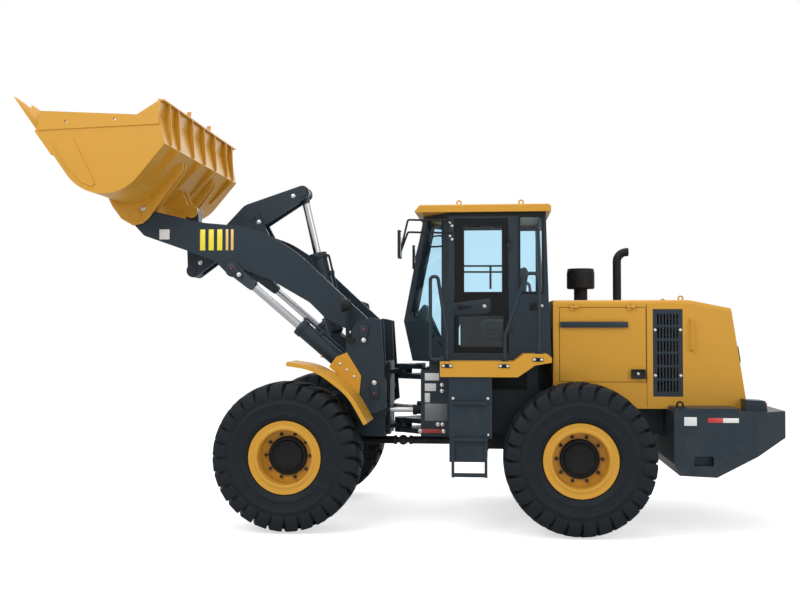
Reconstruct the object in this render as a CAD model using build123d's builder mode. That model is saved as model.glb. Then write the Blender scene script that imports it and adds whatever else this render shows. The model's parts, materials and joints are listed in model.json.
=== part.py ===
from build123d import *
from math import cos, hypot, radians, sin, sqrt
import os

# Articulated wheel loader with its boom raised and its bucket rolled back.
# X points forward, Y to the driver's left and Z up. The origin lies on the ground under the steering hinge.
# Lengths are millimetres and angles are degrees.

# Running gear
HINGE_TO_FRONT_AXLE = 1140
HINGE_TO_REAR_AXLE = 1960
TRACK = 2250
TYRE_RADIUS = 800
TYRE_WIDTH = 597
LUG_COUNT = 28
LUG_HEIGHT = 42
LUG_WIDTH = 104
LUG_SLANT = 14
BEAD_RADIUS = 318
FLANGE_RADIUS = 390
RIM_HALF_WIDTH = 250
RIM_WALL = 28
WELL_RADIUS = 288
HUB_RADIUS = 207
HUB_FLANGE_RADIUS = 272
HUB_CAP_RADIUS = 167
SPINDLE_RADIUS = 80
AXLE_TUBE_RADIUS = 130
DIFF_RADIUS = 230

# Fits and gaps
PIN_FIT = 0.05
SEAT_GAP = 0.4
SIDE_GAP = 6
DOOR_GAP = 6

# Machine outline
WEIGHT_CLEARANCE = 170
COUNTERWEIGHT_WIDTH = 2400
COUNTERWEIGHT_TOP = 1297
COUNTERWEIGHT_LENGTH = 1193
HOOD_HALF_WIDTH = 760
HOOD_TOP = 2477
HOOD_WALL = 30
CAB_HALF_WIDTH = 800
CAB_FLOOR = 1796
CAB_TOP = 3448
CAB_WALL = 45
CAB_NOSE_HALF_WIDTH = 380
ROOF_HALF_WIDTH = 850
ROOF_TOP = 3532
PLATFORM_HALF_WIDTH = 1220
PLATFORM_TOP = 1817
PLATFORM_SKIRT = 164
STEP_CLEARANCE = 112

# Frames
FRAME_HALF_WIDTH = 530
FRAME_PLATE = 30
TOWER_INNER = 465
TOWER_OUTER = 745
TOWER_PLATE = 30
HINGE_PIN_RADIUS = 50
TONGUE_THICKNESS = 50
FORK_THICKNESS = 55
LOWER_HINGE_Z = 1035
UPPER_HINGE_Z = 1665
HINGE_EYE_RADIUS = 105
SHAFT_RADIUS = 45
SHAFT_Z = 850

# Working arm, pins as (X, Z)
BOOM_PIVOT = (370, 2154)
BUCKET_PIVOT = (3023, 3462)
CRANK_PIVOT = (1803, 3495)
CRANK_TOP = (1198, 3784)
CRANK_FOOT = (2521, 2861)
LINK_TOP = (2553, 3575)
LIFT_BASE = (251, 1448)
LIFT_EYE = (1894, 2847)
TILT_BASE = (790, 2030)
BOOM_Y = 620
BOOM_PLATE = 60
BOOM_PIN_RADIUS = 60
LIFT_PIN_RADIUS = 50
CRANK_GAP = 170
CRANK_PLATE = 40
CRANK_PIN_RADIUS = 50
LINK_PIN_RADIUS = 42
LINK_WIDTH = 150

# Bucket
BUCKET_WIDTH = 3016
BUCKET_WALL = 28
BUCKET_ARC_RADIUS = 498
BUCKET_ARC_OFFSET = (74, 648)
FLOOR_ANGLE = 54.5
FLOOR_LENGTH = 600
BACK_ANGLE = 130
BACK_LENGTH = 458
CHEEK_PLATE = 25
SIDE_BAND = 12
TOOTH_COUNT = 8
TOOTH_WIDTH = 110
TOOTH_REACH = 469

# Hydraulic cylinders
LIFT_BARREL_RADIUS = 92
LIFT_ROD_RADIUS = 45
LIFT_BARREL_LENGTH = 1150
TILT_BARREL_RADIUS = 100
TILT_ROD_RADIUS = 48
TILT_BARREL_LENGTH = 1060
STEER_BARREL_RADIUS = 48
STEER_ROD_RADIUS = 25
STEER_BARREL_LENGTH = 640
STEER_Z = 1230
STEER_EYE_HALF = 50
STEER_PIN_RADIUS = 30
STEER_LUG = 25
STEER_FRONT = (190, 340)
STEER_REAR = (-780, 300)

# Doors and their hinges
DOOR_FRONT = -632
DOOR_REAR = -1232
DOOR_BOTTOM = 1900
DOOR_TOP = 3390
DOOR_THICKNESS = 45
ENGINE_DOOR_BOTTOM = 1581
ENGINE_DOOR_TOP = 2400
GRILLE_HALF_WIDTH = 600
GRILLE_BOTTOM = 1450
GRILLE_TOP = 2300
GRILLE_PLATE = 28
HINGE_OFFSET = 20
KNUCKLE_RADIUS = 15
KNUCKLE_LENGTH = 45
DOOR_PIN_RADIUS = 8
LEAF_NEAR = 10
LEAF_WIDTH = 26
DOOR_HINGES = (-500, 410)
ENGINE_HINGES = (-350, 260)
GRILLE_HINGES = (-330, 240)

# Worked-out places
FRONT_AXLE_X = HINGE_TO_FRONT_AXLE
REAR_AXLE_X = -HINGE_TO_REAR_AXLE
AXLE_Z = TYRE_RADIUS
COUNTERWEIGHT_FRONT = REAR_AXLE_X - TYRE_RADIUS - WEIGHT_CLEARANCE
TAIL_X = COUNTERWEIGHT_FRONT - COUNTERWEIGHT_LENGTH
BOOM_INNER = BOOM_Y - BOOM_PLATE / 2
BOOM_OUTER = BOOM_Y + BOOM_PLATE / 2
CRANK_INNER = CRANK_GAP / 2
CRANK_OUTER = CRANK_INNER + CRANK_PLATE
FRAME_INNER = FRAME_HALF_WIDTH - FRAME_PLATE
STEER_LUGS = (STEER_Z - STEER_EYE_HALF - SIDE_GAP - STEER_LUG, STEER_Z + STEER_EYE_HALF + SIDE_GAP)
SIDES = (("left", 1), ("right", -1))

os.makedirs("parts", exist_ok=True)


def save(builder, label):
    """Name a finished piece and write its file."""
    builder.part.label = label
    export_step(builder.part, f"parts/{label}.step")


def outline_face(outline, radius):
    """Fill a closed outline, with its corners rounded where a radius is given."""
    with BuildLine() as edge:
        if radius:
            FilletPolyline(*outline, radius=radius, close=True)
        else:
            Polyline(*outline, close=True)
    make_face(edge.line)


def slab(outline, y_a, y_b, radius=0, mode=Mode.ADD):
    """Extrude a side-view outline of (X, Z) points between two Y planes."""
    low, high = sorted((y_a, y_b))
    with BuildSketch(Plane.XZ.offset(-high)) as profile:
        outline_face(outline, radius)
    extrude(profile.sketch, amount=high - low, mode=mode)


def deck(outline, z_min, z_max, mode=Mode.ADD):
    """Extrude a plan-view outline of (X, Y) points between two heights."""
    with BuildSketch(Plane.XY.offset(z_min)) as profile:
        outline_face(outline, 0)
    extrude(profile.sketch, amount=z_max - z_min, mode=mode)


def block(x, y, z, mode=Mode.ADD):
    """Add a box between pairs of X, Y and Z limits."""
    with Locations((sum(x) / 2, sum(y) / 2, sum(z) / 2)):
        Box(abs(x[1] - x[0]), abs(y[1] - y[0]), abs(z[1] - z[0]), mode=mode)


def disc(plane, centre, radius, length, mode=Mode.ADD):
    """Extrude a circle on a plane."""
    with BuildSketch(plane) as profile:
        with Locations(centre):
            Circle(radius)
    extrude(profile.sketch, amount=length, mode=mode)


def round_y(centre, radius, y_a, y_b, mode=Mode.ADD):
    """Add a round bar along Y at an (X, Z) centre."""
    low, high = sorted((y_a, y_b))
    disc(Plane.XZ.offset(-high), centre, radius, high - low, mode)


def round_z(centre, radius, z_min, z_max, mode=Mode.ADD):
    """Add a round bar along Z at an (X, Y) centre."""
    disc(Plane.XY.offset(z_min), centre, radius, z_max - z_min, mode)


def round_x(centre, radius, x_min, x_max, mode=Mode.ADD):
    """Add a round bar along X at a (Y, Z) centre."""
    disc(Plane.YZ.offset(x_min), centre, radius, x_max - x_min, mode)


def arm_plate(start, start_radius, end, end_radius, y_a, y_b):
    """Add a plate that tapers between two round ends in the side view."""
    low, high = sorted((y_a, y_b))
    with BuildSketch(Plane.XZ.offset(-high)) as profile:
        with Locations(start):
            Circle(start_radius)
        with Locations(end):
            Circle(end_radius)
        make_hull()
    extrude(profile.sketch, amount=high - low)


def tube(points, radius, bend):
    """Sweep a round tube along straight runs joined by bends."""
    with BuildLine() as path:
        FilletPolyline(*points, radius=bend)
    with BuildSketch(Plane(path.line @ 0, z_dir=path.line % 0)) as section:
        Circle(radius)
    sweep(section.sketch, path=path.line)


def step_from(start, angle, distance):
    """The (X, Z) point at a distance and angle from a start point."""
    return (start[0] + distance * cos(radians(angle)), start[1] + distance * sin(radians(angle)))


def shifted(point, dx, dz):
    """A point moved by an offset."""
    return (point[0] + dx, point[1] + dz)


def side_plane(start, end, y):
    """A plane whose X axis runs between two (X, Z) pins, at one Y."""
    return Plane((start[0], y, start[1]), x_dir=(end[0] - start[0], 0, end[1] - start[1]), z_dir=(0, -1, 0))


def plan_plane(start, end, z):
    """A plane whose X axis runs between two (X, Y) pins, at one Z."""
    return Plane((start[0], start[1], z), x_dir=(end[0] - start[0], end[1] - start[1], 0), z_dir=(0, 0, 1))


def span(start, end):
    """Distance between two pins."""
    return hypot(end[0] - start[0], end[1] - start[1])


def turned(plane, outline):
    """Revolve a half outline of (along, radius) points about a plane's X axis."""
    with BuildSketch(plane) as profile:
        outline_face(outline, 0)
    revolve(profile.sketch, axis=Axis(plane.origin, plane.x_dir))


def bar(plane, start, end, radius):
    """Add a round bar along a plane's X axis."""
    turned(plane, [(start, 0), (start, radius), (end, radius), (end, 0)])


def eye(plane, along, radius, bore, half_width):
    """Add a round eye across a cylinder's axis, with its pin bore."""
    back = plane.offset(-half_width)
    disc(back, (along, 0), radius, 2 * half_width)
    if bore:
        disc(back, (along, 0), bore, 2 * half_width, Mode.SUBTRACT)


def barrel_outline(radius, rod_radius, length, wall=14, gland=70, closed_end=95):
    """Half section of a cylinder barrel with a stepped gland at its open end."""
    collar = radius + 8
    cone = 45
    bottom = 15
    return [
        (closed_end - cone, 0),
        (closed_end - cone, radius * 0.7),
        (closed_end, radius),
        (length - gland, radius),
        (length - gland, collar),
        (length, collar),
        (length, rod_radius + PIN_FIT),
        (length - gland, rod_radius + PIN_FIT),
        (length - gland, radius - wall),
        (closed_end + bottom, radius - wall),
        (closed_end + bottom, 0),
    ]


def hinge_plane(point, axis, outward):
    """A plane along a door's hinge line, which stands off the wall; its Z axis points to the fixed side."""
    origin = Vector(*point) + Vector(*outward).normalized() * HINGE_OFFSET
    return Plane(origin, x_dir=axis, z_dir=Vector(*axis).cross(Vector(*outward)))


def hinge_leaf(plane, start, end, side):
    """Add the leaf that ties a knuckle to the wall or to the door."""
    with BuildSketch(plane.offset(side * LEAF_NEAR)) as leaf:
        with Locations(((start + end) / 2, -HINGE_OFFSET / 2)):
            Rectangle(end - start, HINGE_OFFSET)
    extrude(leaf.sketch, amount=side * LEAF_WIDTH)


def fixed_hinges(plane, stations):
    """Add the frame's knuckles, each with its pin."""
    for start in stations:
        end = start + KNUCKLE_LENGTH
        pin_end = end + KNUCKLE_LENGTH
        knuckle = [(start, 0), (start, KNUCKLE_RADIUS), (end, KNUCKLE_RADIUS)]
        pin = [(end, DOOR_PIN_RADIUS), (pin_end, DOOR_PIN_RADIUS), (pin_end, 0)]
        turned(plane, knuckle + pin)
        hinge_leaf(plane, start, end, 1)


def door_hinges(plane, stations):
    """Add the door's knuckles, which turn on the frame's pins."""
    bore = DOOR_PIN_RADIUS + PIN_FIT
    for start in stations:
        near = start + KNUCKLE_LENGTH + SIDE_GAP
        far = start + 2 * KNUCKLE_LENGTH
        turned(plane, [(near, bore), (near, KNUCKLE_RADIUS), (far, KNUCKLE_RADIUS), (far, bore)])
        hinge_leaf(plane, near, far, -1)


def lifting_eye(centre, radius, hole, y, thickness):
    """Add an upright lifting plate with its hole, in the side view."""
    round_y(centre, radius, y - thickness / 2, y + thickness / 2)
    round_y(centre, hole, y - thickness / 2, y + thickness / 2, Mode.SUBTRACT)


# Tyre: a faceted carcass with slanted tread lugs, built once about the origin
TYRE_HALF = TYRE_WIDTH / 2
TREAD_BASE = TYRE_RADIUS - LUG_HEIGHT
SHOULDER_RADIUS = TYRE_RADIUS * 0.86
LUG_PITCH = 360 / LUG_COUNT
BEAD_FACE = RIM_HALF_WIDTH - RIM_WALL - SEAT_GAP
BEAD_CORNER = (BEAD_RADIUS + SEAT_GAP) / cos(radians(LUG_PITCH / 2))
LUG_MIDDLE = TYRE_HALF / 2
LUG_ROOT = 12
LUG_SINK = 30
LUG_SHOULDER = 80
LUG_END = (TYRE_HALF - LUG_MIDDLE - LUG_WIDTH / 2 * sin(radians(LUG_SLANT))) / cos(radians(LUG_SLANT))
LUG_REACH = LUG_WIDTH / 2 * cos(radians(LUG_SLANT)) + LUG_END * sin(radians(LUG_SLANT))
LUG_TOP = sqrt(TYRE_RADIUS**2 - LUG_REACH**2)
CARCASS_HALF = [
    (BEAD_FACE, BEAD_CORNER),
    (BEAD_FACE, FLANGE_RADIUS + 12),
    (TYRE_HALF - 14, TYRE_RADIUS * 0.66),
    (TYRE_HALF - 18, SHOULDER_RADIUS),
    (TYRE_HALF - 90, TREAD_BASE),
]
CARCASS = CARCASS_HALF + [(-u, r) for u, r in reversed(CARCASS_HALF)]
LUG = [
    (LUG_ROOT - LUG_MIDDLE, TREAD_BASE - LUG_SINK),
    (LUG_ROOT - LUG_MIDDLE, LUG_TOP),
    (LUG_END - LUG_SHOULDER, LUG_TOP),
    (LUG_END, SHOULDER_RADIUS),
    (LUG_END - LUG_SHOULDER, SHOULDER_RADIUS - LUG_SINK),
]


def radial_plane(angle, y, slant, side):
    """A plane through the wheel's axis, turned about its radius by a slant; its Y axis is the radius."""
    radius = Vector(cos(radians(angle)), 0, sin(radians(angle)))
    outboard = Vector(0, side, 0)
    across = outboard * cos(radians(slant)) + outboard.cross(radius) * sin(radians(slant))
    return Plane((0, y, 0), x_dir=across, z_dir=across.cross(radius))


with BuildPart() as carcass_sector:
    sections = []
    for angle in (0, LUG_PITCH):
        with BuildSketch(radial_plane(angle, 0, 0, 1)) as section:
            outline_face(CARCASS, 0)
        sections.append(section.sketch)
    loft(sections, ruled=True)

lugs = []
for side, angle in ((1, LUG_PITCH / 2), (-1, LUG_PITCH)):
    with BuildPart() as lug:
        with BuildSketch(radial_plane(angle, side * LUG_MIDDLE, LUG_SLANT, side)) as section:
            outline_face(LUG, 0)
        extrude(section.sketch, amount=LUG_WIDTH / 2, both=True)
    lugs.append(lug.part)

with BuildPart() as tyre_form:
    turns = [index * LUG_PITCH for index in range(LUG_COUNT)]
    add([carcass_sector.part.rotate(Axis.Y, turn) for turn in turns])
    add([lug.rotate(Axis.Y, turn) for turn in turns for lug in lugs])

# Rim and hub, turned about the axle line
RIM_DISC = (10, 35)
RIM_OUTLINE = [
    (-RIM_HALF_WIDTH, FLANGE_RADIUS),
    (-RIM_HALF_WIDTH, WELL_RADIUS + 40),
    (-RIM_HALF_WIDTH + 60, WELL_RADIUS),
    (RIM_DISC[0], WELL_RADIUS),
    (RIM_DISC[0], HUB_RADIUS + SEAT_GAP),
    (RIM_DISC[1], HUB_RADIUS + SEAT_GAP),
    (RIM_DISC[1], WELL_RADIUS),
    (RIM_HALF_WIDTH - 70, WELL_RADIUS),
    (RIM_HALF_WIDTH - 20, WELL_RADIUS + 45),
    (RIM_HALF_WIDTH, FLANGE_RADIUS - 12),
    (RIM_HALF_WIDTH, FLANGE_RADIUS),
    (RIM_HALF_WIDTH - RIM_WALL, FLANGE_RADIUS),
    (RIM_HALF_WIDTH - RIM_WALL, BEAD_RADIUS),
    (-RIM_HALF_WIDTH + RIM_WALL, BEAD_RADIUS),
    (-RIM_HALF_WIDTH + RIM_WALL, FLANGE_RADIUS),
]
HUB_FLANGE = 26
HUB_FACE = 70
HUB_OUTLINE = [
    (-100, SPINDLE_RADIUS + PIN_FIT),
    (-100, HUB_RADIUS - 20),
    (-60, HUB_RADIUS),
    (RIM_DISC[0] - HUB_FLANGE, HUB_RADIUS),
    (RIM_DISC[0] - HUB_FLANGE, HUB_FLANGE_RADIUS),
    (RIM_DISC[0], HUB_FLANGE_RADIUS),
    (RIM_DISC[0], HUB_RADIUS),
    (HUB_FACE - 8, HUB_RADIUS),
    (HUB_FACE, HUB_RADIUS - 10),
    (HUB_FACE, HUB_CAP_RADIUS),
    (HUB_FACE + 18, HUB_CAP_RADIUS - 8),
    (HUB_FACE + 18, 0),
    (HUB_FACE - 20, 0),
    (HUB_FACE - 20, SPINDLE_RADIUS + PIN_FIT),
]


def wheel_plane(x, side):
    """A plane at a wheel's middle: its X axis points outboard and its Y axis up."""
    return Plane((x, side * TRACK / 2, AXLE_Z), x_dir=(0, side, 0), z_dir=(side, 0, 0))


for end, axle_x in (("front", FRONT_AXLE_X), ("rear", REAR_AXLE_X)):
    for hand, side in SIDES:
        middle = wheel_plane(axle_x, side)
        with BuildPart() as tyre:
            with Locations(Location(middle.origin, (0, 0, 90 - side * 90))):
                add(tyre_form.part)
        save(tyre, f"tyre_{end}_{hand}")
        with BuildPart() as rim:
            turned(middle, RIM_OUTLINE)
        save(rim, f"rim_{end}_{hand}")
        with BuildPart() as hub:
            turned(middle, HUB_OUTLINE)
        save(hub, f"hub_{end}_{hand}")

# Axles: housing with differential, brake drums, spindles, saddles and the shaft's nose
HOUSING_END = TRACK / 2 - 120
DRUM_RADIUS = 185
SPINDLE_END = TRACK / 2 + 40
AXLE_HALF = [
    (110, DIFF_RADIUS),
    (230, AXLE_TUBE_RADIUS),
    (HOUSING_END - 60, AXLE_TUBE_RADIUS),
    (HOUSING_END - 40, DRUM_RADIUS),
    (HOUSING_END, DRUM_RADIUS),
    (HOUSING_END, SPINDLE_RADIUS),
    (SPINDLE_END, SPINDLE_RADIUS),
    (SPINDLE_END, 0),
]
AXLE_OUTLINE = AXLE_HALF + [(-u, r) for u, r in reversed(AXLE_HALF)]
SADDLE_HALF_LENGTH = 115
SADDLE_WIDTH = 70
SADDLE_TOP = 960
NOSE_LENGTH = 330
NOSE_RADIUS = 110
NOSE_ROOT = 40
COLLAR_RADIUS = 75
COLLAR_LENGTH = 40
SHAFT_GAP = 70
CRADLE_TOP = 1040
CRADLE_HALF = (120, 150)


def axle_housing(x):
    """Turn an axle's housing about its cross line."""
    turned(Plane((x, 0, AXLE_Z), x_dir=(0, 1, 0), z_dir=(0, 0, 1)), AXLE_OUTLINE)


with BuildPart() as front_axle:
    axle_housing(FRONT_AXLE_X)
    saddle_x = (FRONT_AXLE_X - SADDLE_HALF_LENGTH, FRONT_AXLE_X + SADDLE_HALF_LENGTH)
    for hand, side in SIDES:
        saddle_y = side * (TOWER_INNER + TOWER_PLATE / 2)
        block(saddle_x, (saddle_y - SADDLE_WIDTH / 2, saddle_y + SADDLE_WIDTH / 2), (AXLE_Z, SADDLE_TOP))
    shaft_length = FRONT_AXLE_X - NOSE_LENGTH - SHAFT_GAP
    shaft = [
        (0, 0),
        (0, SHAFT_RADIUS),
        (shaft_length - COLLAR_LENGTH, SHAFT_RADIUS),
        (shaft_length - COLLAR_LENGTH, COLLAR_RADIUS),
        (shaft_length, COLLAR_RADIUS),
        (shaft_length, NOSE_RADIUS),
        (shaft_length + NOSE_LENGTH + NOSE_ROOT, NOSE_RADIUS),
        (shaft_length + NOSE_LENGTH + NOSE_ROOT, 0),
    ]
    turned(Plane((SHAFT_GAP, 0, SHAFT_Z), x_dir=(1, 0, 0), z_dir=(0, -1, 0)), shaft)
save(front_axle, "front_axle")

with BuildPart() as rear_axle:
    axle_housing(REAR_AXLE_X)
    cradle_x = (REAR_AXLE_X - CRADLE_HALF[0], REAR_AXLE_X + CRADLE_HALF[0])
    block(cradle_x, (-CRADLE_HALF[1], CRADLE_HALF[1]), (AXLE_Z, CRADLE_TOP))
    round_x((0, SHAFT_Z), NOSE_RADIUS, REAR_AXLE_X - NOSE_ROOT, REAR_AXLE_X + NOSE_LENGTH)
save(rear_axle, "rear_axle")

# Cab and hood stations that the frames take their places from
POST_X = -575
CAB_REAR_FOOT = -1700
CAB_REAR_TOP = -1640
NOSE_FOOT = -140
NOSE_TIP = -40
NOSE_Z = 2250
NOSE_TOP = -270
HOOD_FRONT = CAB_REAR_FOOT - 16
HOOD_KINK = (TAIL_X + 947, HOOD_TOP)
HOOD_CREST = (TAIL_X + 506, 2387)
HOOD_TAIL = (TAIL_X + 341, COUNTERWEIGHT_TOP)
VENT_FRONT = TAIL_X + 1336
VENT_REAR = TAIL_X + 1018
VENT_BOTTOM = 1428
VENT_TOP = 2377
ENGINE_DOOR_FRONT = HOOD_FRONT - 66
ENGINE_DOOR_REAR = VENT_FRONT + 69

# Rear chassis: side plates, front wall with hinge forks, cross members and mounts
WALL_X = -246
CHASSIS_TOP = 1480
CHASSIS_BOTTOM = 1000
NECK_TOP = 1700
NECK_REAR = -560
NECK_SLOPE = 140
GEARBOX_REAR = REAR_AXLE_X + NOSE_LENGTH + 130
GEARBOX_FRONT = GEARBOX_REAR + 600
GEARBOX_TOP = 1330
GEARBOX_BOTTOM = 780
GEARBOX_HALF = 225
CROSS_BOTTOM = GEARBOX_TOP
CROSS_TOP = CHASSIS_TOP - 30
FORK_HALF = 300
FORK_REACH = HINGE_EYE_RADIUS - 5
STEER_WINDOW = 110
STEER_BRACKET_INNER = 240
CRADLE_BEAM = 90
MOUNT_LENGTH = 120
FRONT_MOUNT_X = -460
REAR_MOUNT_X = CAB_REAR_FOOT + 140


def fork_heights(hinge_z):
    """The two (bottom, top) heights of the fork plates round a hinge tongue."""
    reach = TONGUE_THICKNESS / 2 + SIDE_GAP
    return (hinge_z - reach - FORK_THICKNESS, hinge_z - reach), (hinge_z + reach, hinge_z + reach + FORK_THICKNESS)


NECK_BOTTOM = fork_heights(LOWER_HINGE_Z)[0][0]
REAR_PLATE = [
    (WALL_X, NECK_BOTTOM),
    (WALL_X, NECK_TOP),
    (NECK_REAR, NECK_TOP),
    (NECK_REAR - NECK_SLOPE, CHASSIS_TOP),
    (COUNTERWEIGHT_FRONT, CHASSIS_TOP),
    (COUNTERWEIGHT_FRONT, CHASSIS_BOTTOM),
    (NECK_REAR - NECK_SLOPE, CHASSIS_BOTTOM),
    (NECK_REAR, NECK_BOTTOM),
]

with BuildPart() as rear_chassis:
    wall_x = (WALL_X - FRAME_PLATE, WALL_X)
    block(wall_x, (-FRAME_INNER, FRAME_INNER), (NECK_BOTTOM, NECK_TOP))
    for hand, side in SIDES:
        slab(REAR_PLATE, side * FRAME_INNER, side * FRAME_HALF_WIDTH)
        window_y = (side * 200, side * FRAME_INNER)
        block(wall_x, window_y, (STEER_Z - STEER_WINDOW, STEER_Z + STEER_WINDOW), mode=Mode.SUBTRACT)
    for hinge_z in (LOWER_HINGE_Z, UPPER_HINGE_Z):
        for bottom, top in fork_heights(hinge_z):
            deck([(WALL_X, -FORK_HALF), (WALL_X, FORK_HALF), (0, FORK_REACH), (0, -FORK_REACH)], bottom, top)
            round_z((0, 0), FORK_REACH, bottom, top)
        pin_bottom, pin_top = fork_heights(hinge_z)
        round_z((0, 0), HINGE_PIN_RADIUS, pin_bottom[0], pin_top[1])
    for start, length in ((GEARBOX_REAR + 170, 80), (REAR_AXLE_X - 100, 200), (COUNTERWEIGHT_FRONT + 90, 80)):
        block((start, start + length), (-FRAME_INNER, FRAME_INNER), (CROSS_BOTTOM, CROSS_TOP))
    beam_x = (REAR_AXLE_X - 100, REAR_AXLE_X + 100)
    block(beam_x, (-FRAME_INNER, FRAME_INNER), (CRADLE_TOP, CRADLE_TOP + CRADLE_BEAM))
    lug_x = (STEER_REAR[0] - 80, STEER_REAR[0] + 60)
    for hand, side in SIDES:
        steer_pin = (STEER_REAR[0], side * STEER_REAR[1])
        for bottom in STEER_LUGS:
            block(lug_x, (side * STEER_BRACKET_INNER, side * FRAME_INNER), (bottom, bottom + STEER_LUG))
        round_z(steer_pin, STEER_PIN_RADIUS, STEER_LUGS[0], STEER_LUGS[1] + STEER_LUG)
        front_mount = (FRONT_MOUNT_X, FRONT_MOUNT_X + MOUNT_LENGTH)
        block(front_mount, (side * (FRAME_INNER - 70), side * FRAME_HALF_WIDTH), (NECK_TOP, CAB_FLOOR))
        rear_mount = (REAR_MOUNT_X, REAR_MOUNT_X + MOUNT_LENGTH)
        block(rear_mount, (side * FRAME_INNER, side * FRAME_HALF_WIDTH), (CHASSIS_TOP, CAB_FLOOR))
save(rear_chassis, "rear_chassis")

# Power train: gearbox, engine block, radiator and rear shafts
ENGINE_FRONT = HOOD_FRONT - 234
ENGINE_REAR = TAIL_X + 1223
ENGINE_TOP = 2150
ENGINE_HALF = 320
RADIATOR_REAR = TAIL_X + 683
RADIATOR_DEPTH = 140
RADIATOR_HALF = 600
RADIATOR_TOP = 2280
with BuildPart() as power_train:
    block((GEARBOX_REAR, GEARBOX_FRONT), (-GEARBOX_HALF, GEARBOX_HALF), (GEARBOX_BOTTOM, GEARBOX_TOP))
    round_x((0, SHAFT_Z), SHAFT_RADIUS, GEARBOX_FRONT, -SHAFT_GAP)
    round_x((0, SHAFT_Z), SHAFT_RADIUS, REAR_AXLE_X + NOSE_LENGTH, GEARBOX_REAR)
    block((ENGINE_REAR, ENGINE_FRONT), (-ENGINE_HALF, ENGINE_HALF), (CROSS_TOP, ENGINE_TOP))
    radiator_x = (RADIATOR_REAR, RADIATOR_REAR + RADIATOR_DEPTH)
    block(radiator_x, (-RADIATOR_HALF, RADIATOR_HALF), (COUNTERWEIGHT_TOP, RADIATOR_TOP))
save(power_train, "power_train")

# Counterweight: cast block with chamfered corners, hand pockets, lids, lamp boxes and a tow jaw
TOW_PIN_RADIUS = 26
JAW_X = TAIL_X + 90
JAW_Z = 1100
JAW_HALF_HEIGHT = 45
JAW_HALF_WIDTH = 90
JAW_DEPTH = 170
TOW_BORE_BOTTOM = 1015
CORNER_X = TAIL_X + 347
CORNER_CUT = 260
POCKET = (200, 100)
POCKET_FRONT = COUNTERWEIGHT_FRONT - 200
POCKET_BOTTOM = 742
POCKET_DEPTH = 90
LID_LENGTH = 655
LID_INNER = 790
LID_EDGE = 12
LID_THICKNESS = 40
LAMP_BOX_X = (TAIL_X + 200, TAIL_X + 415)
LAMP_BOX_Y = (770, 1010)
LAMP_BOX_TOP = 1415
WEIGHT_HALF = COUNTERWEIGHT_WIDTH / 2
WEIGHT_PROFILE = [
    (COUNTERWEIGHT_FRONT, COUNTERWEIGHT_TOP),
    (TAIL_X, COUNTERWEIGHT_TOP),
    (TAIL_X, 1016),
    (CORNER_X, 845),
    (COUNTERWEIGHT_FRONT - 430, 624),
    (COUNTERWEIGHT_FRONT - 55, 639),
    (COUNTERWEIGHT_FRONT, 760),
]
with BuildPart() as counterweight:
    slab(WEIGHT_PROFILE, -WEIGHT_HALF, WEIGHT_HALF)
    for hand, side in SIDES:
        flank = side * WEIGHT_HALF
        corner = [(TAIL_X, flank - side * CORNER_CUT), (CORNER_X, flank), (TAIL_X, flank)]
        deck(corner, 0, COUNTERWEIGHT_TOP, mode=Mode.SUBTRACT)
        pocket = [
            (POCKET_FRONT, POCKET_BOTTOM),
            (POCKET_FRONT, POCKET_BOTTOM + POCKET[1]),
            (POCKET_FRONT - POCKET[0], POCKET_BOTTOM + POCKET[1]),
            (POCKET_FRONT - POCKET[0], POCKET_BOTTOM),
        ]
        slab(pocket, flank - side * POCKET_DEPTH, flank, [0, 25, 25, 0], Mode.SUBTRACT)
        lid_x = (COUNTERWEIGHT_FRONT - LID_EDGE - LID_LENGTH, COUNTERWEIGHT_FRONT - LID_EDGE)
        lid_z = (COUNTERWEIGHT_TOP, COUNTERWEIGHT_TOP + LID_THICKNESS)
        block(lid_x, (side * LID_INNER, flank - side * LID_EDGE), lid_z)
        lamp_box = [
            (LAMP_BOX_X[1], COUNTERWEIGHT_TOP),
            (LAMP_BOX_X[1], LAMP_BOX_TOP),
            (LAMP_BOX_X[0] + 20, LAMP_BOX_TOP - 10),
            (LAMP_BOX_X[0], COUNTERWEIGHT_TOP),
        ]
        slab(lamp_box, side * LAMP_BOX_Y[0], side * LAMP_BOX_Y[1])
    jaw_z = (JAW_Z - JAW_HALF_HEIGHT, JAW_Z + JAW_HALF_HEIGHT)
    block((TAIL_X, TAIL_X + JAW_DEPTH), (-JAW_HALF_WIDTH, JAW_HALF_WIDTH), jaw_z, mode=Mode.SUBTRACT)
    round_z((JAW_X, 0), TOW_PIN_RADIUS, TOW_BORE_BOTTOM, COUNTERWEIGHT_TOP, mode=Mode.SUBTRACT)
save(counterweight, "counterweight")

# Hood: hollow cover with door, vent and grille openings, grab handles and lifting eyes
HOOD_EDGE = 45
HANDLE_X = VENT_REAR - 92
HANDLE_Z = (1932, 2261)
HANDLE_STANDOFF = 50
HANDLE_RADIUS = 11
HANDLE_BEND = 24
HOOD_EYE = (HOOD_KINK[0] + 60, HOOD_TOP + 20)
EYE_RADIUS = 32
EYE_HOLE = 16
EYE_PLATE = 14
TAIL_SLOPE = (HOOD_TAIL[0] - HOOD_CREST[0]) / (HOOD_TAIL[1] - HOOD_CREST[1])


def tail_x(z):
    """X of the hood's slanted tail at one height."""
    return HOOD_CREST[0] + TAIL_SLOPE * (z - HOOD_CREST[1])


def engine_hinge(side):
    """The hinge plane along an engine door's top edge."""
    middle = (ENGINE_DOOR_FRONT + ENGINE_DOOR_REAR) / 2
    return hinge_plane((middle, side * HOOD_HALF_WIDTH, ENGINE_DOOR_TOP), (side, 0, 0), (0, side, 0))


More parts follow.
